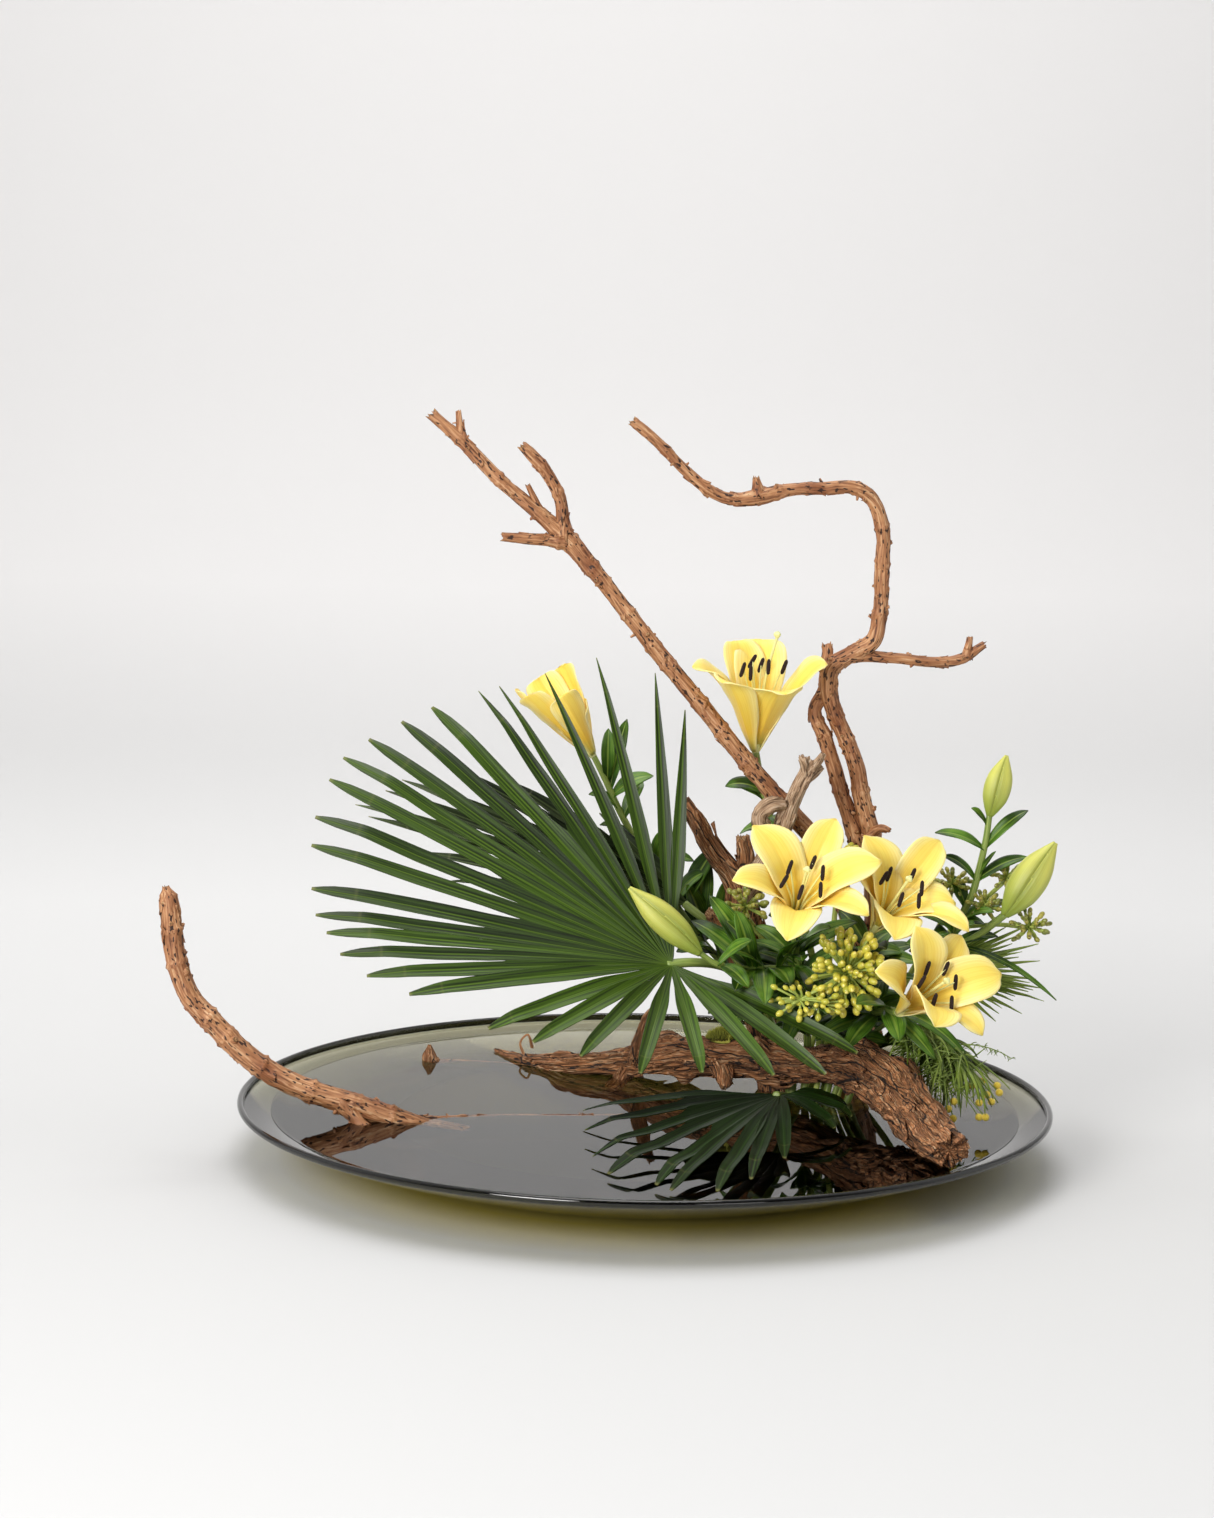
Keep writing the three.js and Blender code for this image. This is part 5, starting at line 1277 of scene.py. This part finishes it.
# %% Stem shapes
# each stem: its stalks, its leaves (foot, tip, half width and bow), and how many young leaves
# stand off the first stalk between which heights
STEMS = {
    "top": (
        [
            [
                [84, 42, 320, 2.6], [90, 46, 290, 2.8], [98, 50, 262, 3], [112, 58, 220, 3],
                [132, 66, 160, 3], [145, 71, 90, 3], [136, 58, SEAT, 3],
            ],
        ],
        [
            [[92, 48, 280], [66, 44, 292], 6], [[97, 50, 266], [104, 30, 256], 5],
            [[102, 53, 248], [122, 36, 262], 6], [[98, 51, 256], [74, 64, 250], 6],
            [[124, 63, 185], [150, 76, 210], 7],
        ],
        (5, 90, 300),
    ),
    "left": (
        [
            [
                [-45, 80, 310, 2.4], [-36, 83, 292, 2.6], [-23, 86, 264, 2.8], [2, 88, 220, 3],
                [44, 92, 160, 3], [94, 96, 104, 3], [110, 92, 66, 3], [123, 66, SEAT, 3],
            ],
        ],
        [
            [[-33, 84, 287], [-33, 76, 332], 5.5], [[-31, 84, 282], [-18, 92, 338], 6],
            [[-29, 85, 276], [4, 92, 292], 7.5], [[-24, 86, 266], [-48, 78, 278], 5],
            [[-20, 86, 258], [-4, 96, 286], 6], [[2, 88, 222], [38, 84, 224], 7],
            [[8, 88, 214], [14, 76, 250], 8], [[24, 90, 190], [46, 74, 216], 9],
            [[42, 92, 163], [84, 92, 176], 9], [[84, 95, 115], [52, 86, 98], 9],
            [[42, 92, 163], [47, 84, 232], 10], [[30, 90, 186], [56, 72, 238], 9],
            [[62, 94, 146], [66, 78, 212], 10], [[84, 95, 115], [46, 80, 182], 11],
            [[50, 92, 158], [32, 76, 206], 9],
        ],
        (12, 110, 250),
    ),
    "centre": (
        [
            [
                [112, -41, 195, 3], [114, -30, 184, 3], [119, -5, 155, 3], [127, 30, 115, 3],
                [131, 45, 75, 3], [126, 39, SEAT, 3],
            ],
            [
                [39, -60, 176, 2.2], [54, -52, 165, 2.4], [80, -32, 158, 2.6], [100, -16, 156, 2.6],
                [119, -5, 154, 2.4],
            ],
        ],
        [
            [[54, -52, 165], [79, -72, 188], 7, 4], [[58, -50, 164], [77, -76, 152], 7, 4],
            [[82, -31, 158], [67, -44, 206], 8], [[80, -32, 158], [67, -66, 147], 8],
            [[90, -24, 157], [89, -92, 142], 9], [[98, -18, 156], [108, -90, 157], 9],
            [[104, -14, 156], [117, -60, 187], 9], [[118, -8, 157], [136, -84, 134], 8],
            [[116, -20, 172], [140, -58, 196], 8], [[115, -26, 180], [92, -58, 205], 8],
            [[118, -10, 160], [84, 2, 186], 8], [[122, 6, 142], [100, -40, 120], 8],
            [[121, 4, 144], [66, -18, 122], 9], [[124, 18, 128], [60, 10, 104], 9],
            [[120, -2, 152], [58, 14, 168], 8], [[126, 26, 120], [108, -30, 96], 8],
            [[84, -29, 158], [47, -22, 214], 9], [[82, -31, 158], [34, -12, 192], 9],
            [[88, -26, 157], [60, -34, 196], 8], [[92, -22, 157], [62, -52, 176], 8],
        ],
        (30, 88, 172),
    ),
    "right": (
        [[[175, -23, 187, 3], [171, -10, 168, 3], [161, 30, 130, 3], [153, 51, 90, 3], [141, 42, SEAT, 3]]],
        [
            [[172, -14, 172], [150, -2, 200], 8], [[170, -6, 166], [184, -46, 178], 8],
            [[166, 10, 150], [210, 6, 172], 8], [[166, 10, 150], [196, -40, 148], 8],
            [[163, 22, 136], [138, -26, 150], 8], [[158, 38, 118], [206, 20, 126], 8],
            [[155, 46, 102], [192, 66, 92], 8], [[168, 2, 158], [212, -16, 162], 8],
        ],
        (28, 85, 172),
    ),
    "low": (
        [[[192, -68, 133, 3], [186, -36, 128, 3], [172, 6, 112, 3], [154, 35, 75, 3], [142, 33, SEAT, 3]]],
        [
            [[188, -45, 130], [158, -92, 144], 9], [[187, -40, 129], [193, -76, 112], 9, 4],
            [[186, -36, 128], [250, -52, 92], 6, 14], [[184, -30, 127], [222, -66, 96], 7],
            [[181, -22, 123], [236, -10, 128], 7], [[175, -4, 115], [130, -50, 106], 8],
            [[179, -16, 119], [152, -74, 104], 8],
        ],
        (24, 80, 124),
    ),
    "buds": (
        [
            [
                [267, 10, 277, 2.4], [265, 12, 256, 2.6], [261, 16, 232, 2.8], [256, 20, 209, 3],
                [251, 24, 197, 3], [234, 23, 155, 3], [206, 22, 110, 3], [174, 24, 70, 3],
                [155, 23, SEAT, 3],
            ],
            [[281, 0, 199, 2.6], [266, 9, 184, 2.6], [252, 17, 173, 2.6], [240, 23, 163, 2.6]],
        ],
        [
            [[265, 11, 268], [252, 4, 282], 3.5, 3], [[264, 13, 248], [224, 4, 262], 5.5],
            [[265, 13, 250], [298, 16, 279], 5.5], [[259, 18, 222], [231, 8, 243], 5],
            [[259, 18, 222], [300, 22, 241], 5.5], [[260, 17, 226], [272, 4, 248], 2.6, 2],
            [[252, 23, 200], [240, 40, 222], 6], [[250, 23, 192], [288, 46, 202], 6, 2],
            [[246, 20, 170], [322, -6, 132], 3, 10], [[234, 22, 154], [268, -20, 140], 5, 8],
            [[226, 22, 142], [278, 8, 134], 6], [[217, 22, 127], [262, 12, 112], 6],
            [[243, 22, 178], [216, 2, 196], 6], [[231, 23, 150], [206, 2, 168], 7],
        ],
        (24, 80, 190),
    ),
}

LEAF_WIDTH = [0.34, 0.62, 0.86, 0.98, 1.0, 0.92, 0.76, 0.52, 0.03]
LEAF_ACROSS = [-1, -0.7, -0.4, -0.12, 0, 0.12, 0.4, 0.7, 1]


def leaf_rows(foot, tip, half, bow=6, facing=(0, -0.6, 0.8), fold=0.25, count=16):
    foot, tip, face = Vector(foot), Vector(tip), Vector(facing).normalized()
    bend = foot.lerp(tip, 0.5) + face * 2 * bow
    seed = foot.x + tip.z
    rows = []
    for t in (i / count for i in range(count + 1)):
        place = bowed(foot, bend, tip, t)
        tangent = ((bend - foot) * (1 - t) + (tip - bend) * t).normalized()
        side = tangent.cross(face).normalized()
        width = max(half * eased(LEAF_WIDTH, t), 0.35)
        up = side.cross(tangent)
        row = []
        for a in LEAF_ACROSS:
            wave = 0.07 * half * abs(a) ** 2 * math.sin(9 * t + seed + a) * math.sin(math.pi * t)
            row.append(place + side * a * width + up * (fold * width * abs(a) ** 1.3 + wave))
        rows.append(row)
    return rows


def young_leaves(blades, stalk, count, low, high):
    """Young leaves that stand off a stalk all round, between two heights."""
    spots = [p for p in smooth_path(stalk, 4)[0] if low < p.z < high]
    for i in range(count):
        foot = spots[(i * 7 + 3) % len(spots)]
        turn = i * GOLDEN_TURN + foot.x
        way = Vector((math.cos(turn), 0.75 * math.sin(turn) - 0.25, 0.35 + 0.45 * uneven(i, 4)))
        tip = foot + way * (38 + 11 * uneven(i, 6))
        blades.strip(leaf_rows(foot, tip, 6.5 + 2 * uneven(i, 8)), LEAF_ACROSS)


def five_ridged(length, turn, radius):
    return radius * (1 + 0.05 * math.cos(5 * turn + length * 0.02))


# %% Stems and leaves
for key, (stalks, leaves, young) in STEMS.items():
    blades, rods = Sheet(), Skin()
    for foot, tip, half, *bow in leaves:
        blades.strip(leaf_rows(foot, tip, half, *bow), LEAF_ACROSS)
    young_leaves(blades, stalks[0], *young)
    for n, stalk in enumerate(stalks):
        rods.tube(stalk, 3, 14, five_ridged, shift=200 * n)
    foliage = blades.thick(f"{key}_leaves", "leaf", LEAF_SHEET, leaf_green)
    stem = joined([foliage, rods.build(f"{key}_stalks", stalk_green)], f"lily_{key}_stem")
    hand_over(stem, f"lily_stem_{key}")

# %% [markdown]
# ## Berries
# The berries are small and smooth, a little longer than wide, each on its own thin stalk, with a
# dot at the far end where the flower sat. One ball is modelled as a UV sphere, then copied and
# stretched into its places.

# %% Berry materials
def berry_material(name, light, deep, tip):
    made, tree = material(name, Roughness=0.34, Coat_Weight=0.25)
    parts = add(tree, "SeparateXYZ", {0: add(tree, "Attribute", attribute_name="grain").outputs["Vector"]})
    tone = add(tree, "ValToRGB", {0: parts}, [(0.0, deep), (1.0, light)])
    dot_stops = [(0.0, "#000000"), (0.9, "#000000"), (0.93, "#ffffff")]
    dot = add(tree, "ValToRGB", {0: parts.outputs[2]}, dot_stops)
    paint(tree, blend(tree, dot, tone, tint(tip)))
    return made


berry_green = berry_material("berry, ripening yellow-green", "#e9db58", "#b9b93e", "#fff08a")
berry_dark = berry_material("berry, unripe olive", "#b3a94a", "#6f7a32", "#6a5426")
twig_green = fibrous("thin green twig", 0.55, 2.0, (0.6, 8), [(0.3, "#8da443"), (0.7, "#c6cf6e")])

# %% Berry pattern
bpy.ops.object.select_all(action="DESELECT")
bpy.ops.mesh.primitive_uv_sphere_add(segments=14, ring_count=9, radius=1, location=(0, 0, 0))
pattern = bpy.context.object
BALL = [v.co.copy() for v in pattern.data.vertices]
BALL_FACES = [tuple(p.vertices) for p in pattern.data.polygons]
bpy.ops.object.delete()
print("berry pattern:", len(BALL_FACES), "faces")


def put_ball(skin, centre, line, radius, tone, stretch):
    """Copy of the pattern: its pole points along the line, away from the stalk."""
    turn = line.to_track_quat("Z", "Y")
    first = len(skin.points)
    for p in BALL:
        at = Vector((p.x, p.y, p.z * stretch)) * radius
        skin.point(centre + turn @ at, (tone, 0, max(p.z, 0)))
    for face in BALL_FACES:
        skin.face(*[first + p for p in face])


# %% Heads of berries
def dome(core, size, count, facing, radius, cover=0.62, inner=0.15):
    """Places spaced by the golden angle over the part of an ellipsoid that faces a direction."""
    face = Vector(facing).normalized()
    side = face.cross(Vector((0.2, 0.3, 1))).normalized()
    top = face.cross(side)
    heads = []
    for i in range(count):
        depth = 1 - (2 * cover * (i + 0.5)) / count
        ring = math.sqrt(1 - depth * depth)
        turn = i * GOLDEN_TURN + 0.25 * uneven(i, 3)
        way = face * depth + side * ring * math.cos(turn) + top * ring * math.sin(turn)
        out = Vector((way.x * size[0], way.y * size[1], way.z * size[2]))
        places = [Vector(core) + out * reach for reach in (inner, 1 + 0.12 * uneven(i, 7))]
        heads.append((*places, radius * (1 + 0.12 * uneven(i, 11))))
    return heads


def core(x, y, z, size):
    return [[x, y, z - size, size * 0.5], [x, y, z, size], [x, y, z + size, size * 0.5]]


BERRY_STALKS = {
    "front": [
        [[153, -48, 158, 2.4], [151, 0, 122, 2.4], [142, 34, 70, 2.4], [133, 30, SEAT, 2.4]],
        [[151, 0, 122, 2], [138, -40, 138, 1.8], [122, -74, 146, 1.6], [110, -84, 142, 1.4]],
    ],
    "back": [
        [
            [77, 18, 192, 2.4], [95, 26, 168, 2.2], [118, 33, 140, 2.2], [139, 40, 100, 2.2],
            [137, 56, 60, 2.2], [130, 49, SEAT, 2.2],
        ],
    ],
    "pale": [
        [
            [153, 45, 236, 2.2], [152, 56, 200, 2.2], [145, 65, 120, 2.2], [132, 64, 60, 2.2],
            [128, 56, SEAT, 2.2],
        ],
    ],
    "right": [
        [
            [241, 30, 212, 2.2], [236, 33, 190, 2.4], [215, 38, 150, 2.4], [190, 32, 105, 2.4],
            [162, 34, 62, 2.4], [149, 32, SEAT, 2.4],
        ],
        [[224, 38, 166, 2], [246, 44, 180, 1.8], [270, 42, 204, 1.8], [284, 27, 222, 1.8]],
        [[246, 43, 180, 1.8], [280, 26, 186, 1.8], [300, 13, 186, 1.8]],
        [[279, 26, 186, 1.8], [272, 22, 194, 1.6], [267, 21, 201, 1.6]],
    ],
}
BERRY_STALKS["back"].append(core(77, 18, 197, 3))
BERRY_STALKS["pale"].append(core(153, 44, 240, 3))
LOOKS_FRONT, LOOKS_UP = (0, -0.9, 0.35), (0, -0.7, 0.6)
HEADS = {
    "front": [
        *dome((153, -52, 161), (27, 24, 32), 34, LOOKS_FRONT, 2.8),
        *dome((153, -52, 161), (28, 25, 31), 46, (0.15, -0.9, 0.25), 2.6, 0.55),
        *dome((153, -51, 160), (23, 20, 26), 40, (-0.1, -0.9, 0.4), 2.6, 0.6),
        *dome((153, -50, 160), (15, 14, 18), 18, (0.1, -0.9, 0.3), 2.4, 0.6),
        *dome((116, -79, 144), (24, 12, 15), 9, (-0.3, -0.9, 0), 2.3, inner=0.05),
        *dome((118, -78, 145), (17, 10, 12), 12, (-0.2, -0.9, 0.2), 2.0, inner=0.05),
        *dome((131, -76, 141), (16, 9, 12), 14, (0.1, -0.9, 0), 2.2, inner=0.05),
    ],
    "back": [
        *dome((77, 18, 199), (17, 14, 15), 10, LOOKS_UP, 2.4),
        *dome((77, 18, 199), (15, 12, 13), 14, (0.2, -0.7, 0.5), 2.3),
        *dome((77, 18, 199), (10, 9, 10), 9, (0.0, -0.7, 0.5), 2.2),
    ],
    "pale": [
        *dome((153, 44, 240), (14, 12, 10), 8, (0, -0.4, 0.9), 2.2),
        *dome((153, 44, 240), (13, 11, 9), 14, (0.2, -0.5, 0.8), 2.1),
    ],
    "right": [],
}
for at, size, count in (
    ((241, 30, 218), (14, 12, 12), 16),
    ((284, 25, 225), (13, 11, 12), 15),
    ((266, 20, 203), (13, 11, 11), 15),
    ((301, 12, 187), (15, 13, 15), 18),
):
    for grow, lift in ((1.0, 0.65), (0.9, 0.4), (0.62, 0.4)):
        layer = [s * grow for s in size]
        HEADS["right"] += dome(at, layer, count, (0, -0.75, lift), 1.9 * (0.7 + 0.3 * grow))


def bunch(name, stalks, heads, surface):
    skin = Skin()
    for stalk in stalks:
        skin.tube(stalk, 3, 10)
    for start, centre, radius in heads:
        line = (centre - start).normalized()
        across = line.cross(Vector((0, 0, 1))).normalized() * 1.2
        middle = start.lerp(centre, 0.5) + across * uneven(centre.x, centre.z)
        skin.tube([(*start, 1.1), (*middle, 0.9), (*(centre - line * radius * 0.7), 1.2)], 2.5, 6)
    skin.repaint(0, 1)
    for i, (start, centre, radius) in enumerate(heads):
        put_ball(skin, centre, (centre - start).normalized(), radius, 0.5 + 0.5 * uneven(i, 31), 1.35)
    return skin.build(name, surface, twig_green)


# %% Four stems of berries
for key, stalks in BERRY_STALKS.items():
    surface, slot = (berry_green, "berry") if key in ("front", "pale") else (berry_dark, "berry_dark")
    hand_over(bunch(f"{key}_berries", stalks, HEADS[key], surface), f"berries_{key}")

# %% [markdown]
# ## Drooping spray
# A loose spray hangs over the rim at the right: thin twigs that fork, narrow trailing leaves, and
# small round yellow florets on stalks. The twigs are tubes of a few faces, since there are hundreds.

# %% Spray shapes
SPRAY_FLORETS = [
    [240, -60, 75], [252, -55, 74], [260, -50, 76], [272, -50, 73], [273, -56, 69], [263, -60, 68],
    [266, -66, 64], [256, -70, 64], [236, -76, 66], [231, -84, 62], [224, -94, 57], [234, -90, 56],
    [229, -99, 54], [255, -80, 55], [260, -80, 55],
]
SPRAY_STALKS = [
    [
        [143, 20, SEAT, 2.2], [158, 18, 65, 2.2], [180, 14, 98, 2.2], [199, -6, 116, 2],
        [214, -26, 112, 1.8], [236, -42, 98, 1.5], [252, -48, 88, 1.3],
    ],
    [[214, -26, 112, 1.6], [224, -52, 98, 1.4], [232, -70, 82, 1.2]],
]
SPRAY_LEAVES = [
    [[203, -12, 116], [210, -58, 80], 2.2, 8], [[210, -22, 114], [224, -80, 62], 2.2, 8],
    [[218, -30, 110], [246, -44, 72], 2, 8], [[226, -36, 105], [266, -34, 80], 2, 8],
    [[233, -40, 101], [284, -38, 92], 2, 8], [[227, -59, 92], [222, -88, 68], 2, 4],
]
floret, tree = material("mimosa floret, fluffy", Roughness=0.95, Sheen_Weight=0.3)
pollen = specks(tree, 1400.0)
paint(tree, add(tree, "ValToRGB", {0: pollen}, [(0.35, "#d2ac24"), (0.6, "#f8e05c")]), pollen, 0.8, 0.4)


def anywhere(*ranges):
    return Vector([random.uniform(*span) for span in ranges])


def along_spray(start, end, loose, i):
    """Random place on the upper part of the spray, a little off its middle line."""
    near = Vector(start).lerp(Vector(end), random.random())
    return near + Vector((uneven(i, 1) * loose, uneven(i, 2) * loose, uneven(i, 3) * 4))


def needle(joint, tip, half, bow, count, across):
    """Narrow leaf; it takes only the first places of each row, so it is one side of a folded blade."""
    trailing.strip(leaf_rows(joint, tip, half, bow, (0.3, -0.75, 0.6), 0.3, count), across)


# %% Trailing leaves
random.seed(4)
skin = Skin()
for stalk in SPRAY_STALKS:
    skin.tube(stalk, 3, 8)
trailing = Sheet()
for i in range(64):
    foot = along_spray((196, -4, 114), (242, -44, 94), 6, i)
    way = anywhere((-0.2, 0.7), (-1.0, -0.3), (-0.95, -0.2)).normalized()
    tip = foot + way * random.uniform(34, 66)
    tip.z = max(tip.z, 50 + random.uniform(0, 12))
    half = random.uniform(1.6, 2.8)
    needle(foot, tip, half, random.uniform(4, 10), 9, [-1, -0.5, 0, 0.5, 1])
    for k in (0.4, 0.62):
        joint = foot.lerp(tip, k) + Vector((0, -3, 6)) * (1 - k)
        hand = 1 if (i + k * 50) % 2 > 1 else -1
        side = Vector((hand, random.uniform(-0.8, -0.1), random.uniform(-0.6, 0.2))).normalized()
        needle(joint, joint + side * random.uniform(9, 17) + way * 6, half * 0.7, 1.5, 6, [-1, 0, 1])
hanging = trailing.thick("trailing_blades", "leaf", NEEDLE_SHEET, spray_green)

# %% Forked twigs
for i in range(40):
    foot = along_spray((199, -6, 116), (244, -46, 95), 5, i)
    reach = random.uniform(28, 62)
    tip = foot + anywhere((-0.25, 0.75), (-1.0, -0.1), (-0.9, -0.1)).normalized() * reach
    tip.z = max(tip.z, 50 + random.uniform(0, 14))
    bend = foot.lerp(tip, 0.55) + Vector((0, -0.2, 1)) * random.uniform(4, 14)
    thread = [bowed(foot, bend, tip, k / 8) for k in range(9)]
    skin.tube([(*p, 1.35 - 0.11 * k) for k, p in enumerate(thread)], 4, 6)
    for k in (3, 5):
        side = anywhere((-1, 1), (-0.8, 0.2), (-0.5, 0.4)).normalized()
        twig = thread[k] + side * random.uniform(8, 17) + Vector((0, 0, -3))
        skin.tube([(*thread[k], 0.6), (*thread[k].lerp(twig, 0.5), 0.6), (*twig, 0.2)], 5, 4)
for foot, tip, half, bow in SPRAY_LEAVES:
    foot, tip = Vector(foot), Vector(tip)
    bend = foot.lerp(tip, 0.5) + Vector((0, -0.6, 0.8)) * 2 * bow
    spine = [bowed(foot, bend, tip, i / 14) for i in range(15)]
    skin.tube([(*p, 0.7 - 0.03 * i) for i, p in enumerate(spine)], 3, 6)
    for i, p in enumerate(spine[1:]):
        for _ in range(3):
            way = anywhere((-1, 1), (-1, 0.6), (-1.1, 0.5)).normalized()
            long = random.uniform(5, 9) * (1 - 0.5 * i / 14)
            end = p + way * long + Vector((0, 0, -1.2))
            skin.tube([(*p, 0.35), (*(p + way * long * 0.5), 0.35), (*end, 0.15)], 4, 4)

# %% Florets
places = []
for i, at in enumerate(SPRAY_FLORETS):
    twig, share = (SPRAY_STALKS[0][-2:], i / 8) if i < 8 else (SPRAY_STALKS[1][-2:], (i - 7) / 8)
    start, at = Vector(twig[0][:3]).lerp(Vector(twig[1][:3]), share), Vector(at)
    skin.tube([(*start, 0.6), (*(start.lerp(at, 0.5) + Vector((0, 0, 1.5))), 0.5), (*at, 0.5)], 3, 6)
    places.append((at, (at - start).normalized()))
skin.repaint(0, 1)
for centre, line in places:
    put_ball(skin, centre, line, 3.0, 1, 1)
spray = joined([skin.build("spray_of_florets", floret, stalk_green), hanging], "spray_of_florets")
hand_over(spray, "floret_spray")

# %% [markdown]
# ## Moss
# A cushion of moss has settled on the log. Its shoots are tapered tufts that stand away from a
# low core, close enough together to hide it.

# %% Moss
moss, tree = material("cushion moss", Roughness=0.95)
parts = add(tree, "SeparateXYZ", {0: add(tree, "Attribute", attribute_name="grain").outputs["Vector"]})
up_shoot = add(tree, "MapRange", {0: parts.outputs[2], 1: 0.0, 2: 7.0})
paint(tree, add(tree, "ValToRGB", {0: up_shoot}, [(0.0, "#4a4a1c"), (0.5, "#8d8f33"), (1.0, "#cfcf5e")]))
SHOOTS, CUSHION_RADIUS = 420, 11
x, y, z = 62, 58, 84
skin = Skin()
skin.tube([(x - 8, y + 4, z, 4), (x, y, z, 5), (x + 8, y - 4, z, 4)], 2, 14)
random.seed(9)
for i in range(SHOOTS):
    turn = i * GOLDEN_TURN
    away = CUSHION_RADIUS * math.sqrt((i + 0.5) / SHOOTS)
    across, deep = math.cos(turn), math.sin(turn)
    foot = Vector((x + away * across, y + 0.7 * away * deep, z + 4.5 - 0.045 * away * away))
    sway = Vector((random.uniform(-0.35, 0.35), random.uniform(-0.35, 0.35), 0))
    lean = Vector((across * away * 0.09, deep * away * 0.07, 1)) + sway
    long = random.uniform(3.5, 7) * (1 - 0.045 * away)
    skin.tube([(*foot, 0.55), (*(foot + lean * long * 0.55), 0.5), (*(foot + lean * long), 0.12)], 3, 4)
hand_over(skin.build("moss_cushion", moss), "moss")

# %% [markdown]
# ## Pin holder
# The pin holder is a heavy brass plate with upright pins. It is under water and behind the stems,
# so the CAD piece stays as it is and only gets its metal: brass that has gone dull and brown.

# %% Pin holder
brass, tree = material("dull brass", Metallic=1.0, Roughness=0.42)
paint(tree, add(tree, "ValToRGB", {0: specks(tree, 160.0)}, [(0.35, "#5d5233"), (0.65, "#8f7f52")]))
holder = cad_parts["pin_holder"]
for place in holder.material_slots:
    place.material = brass
print("pin holder keeps its CAD shape:", len(holder.data.polygons), "faces")
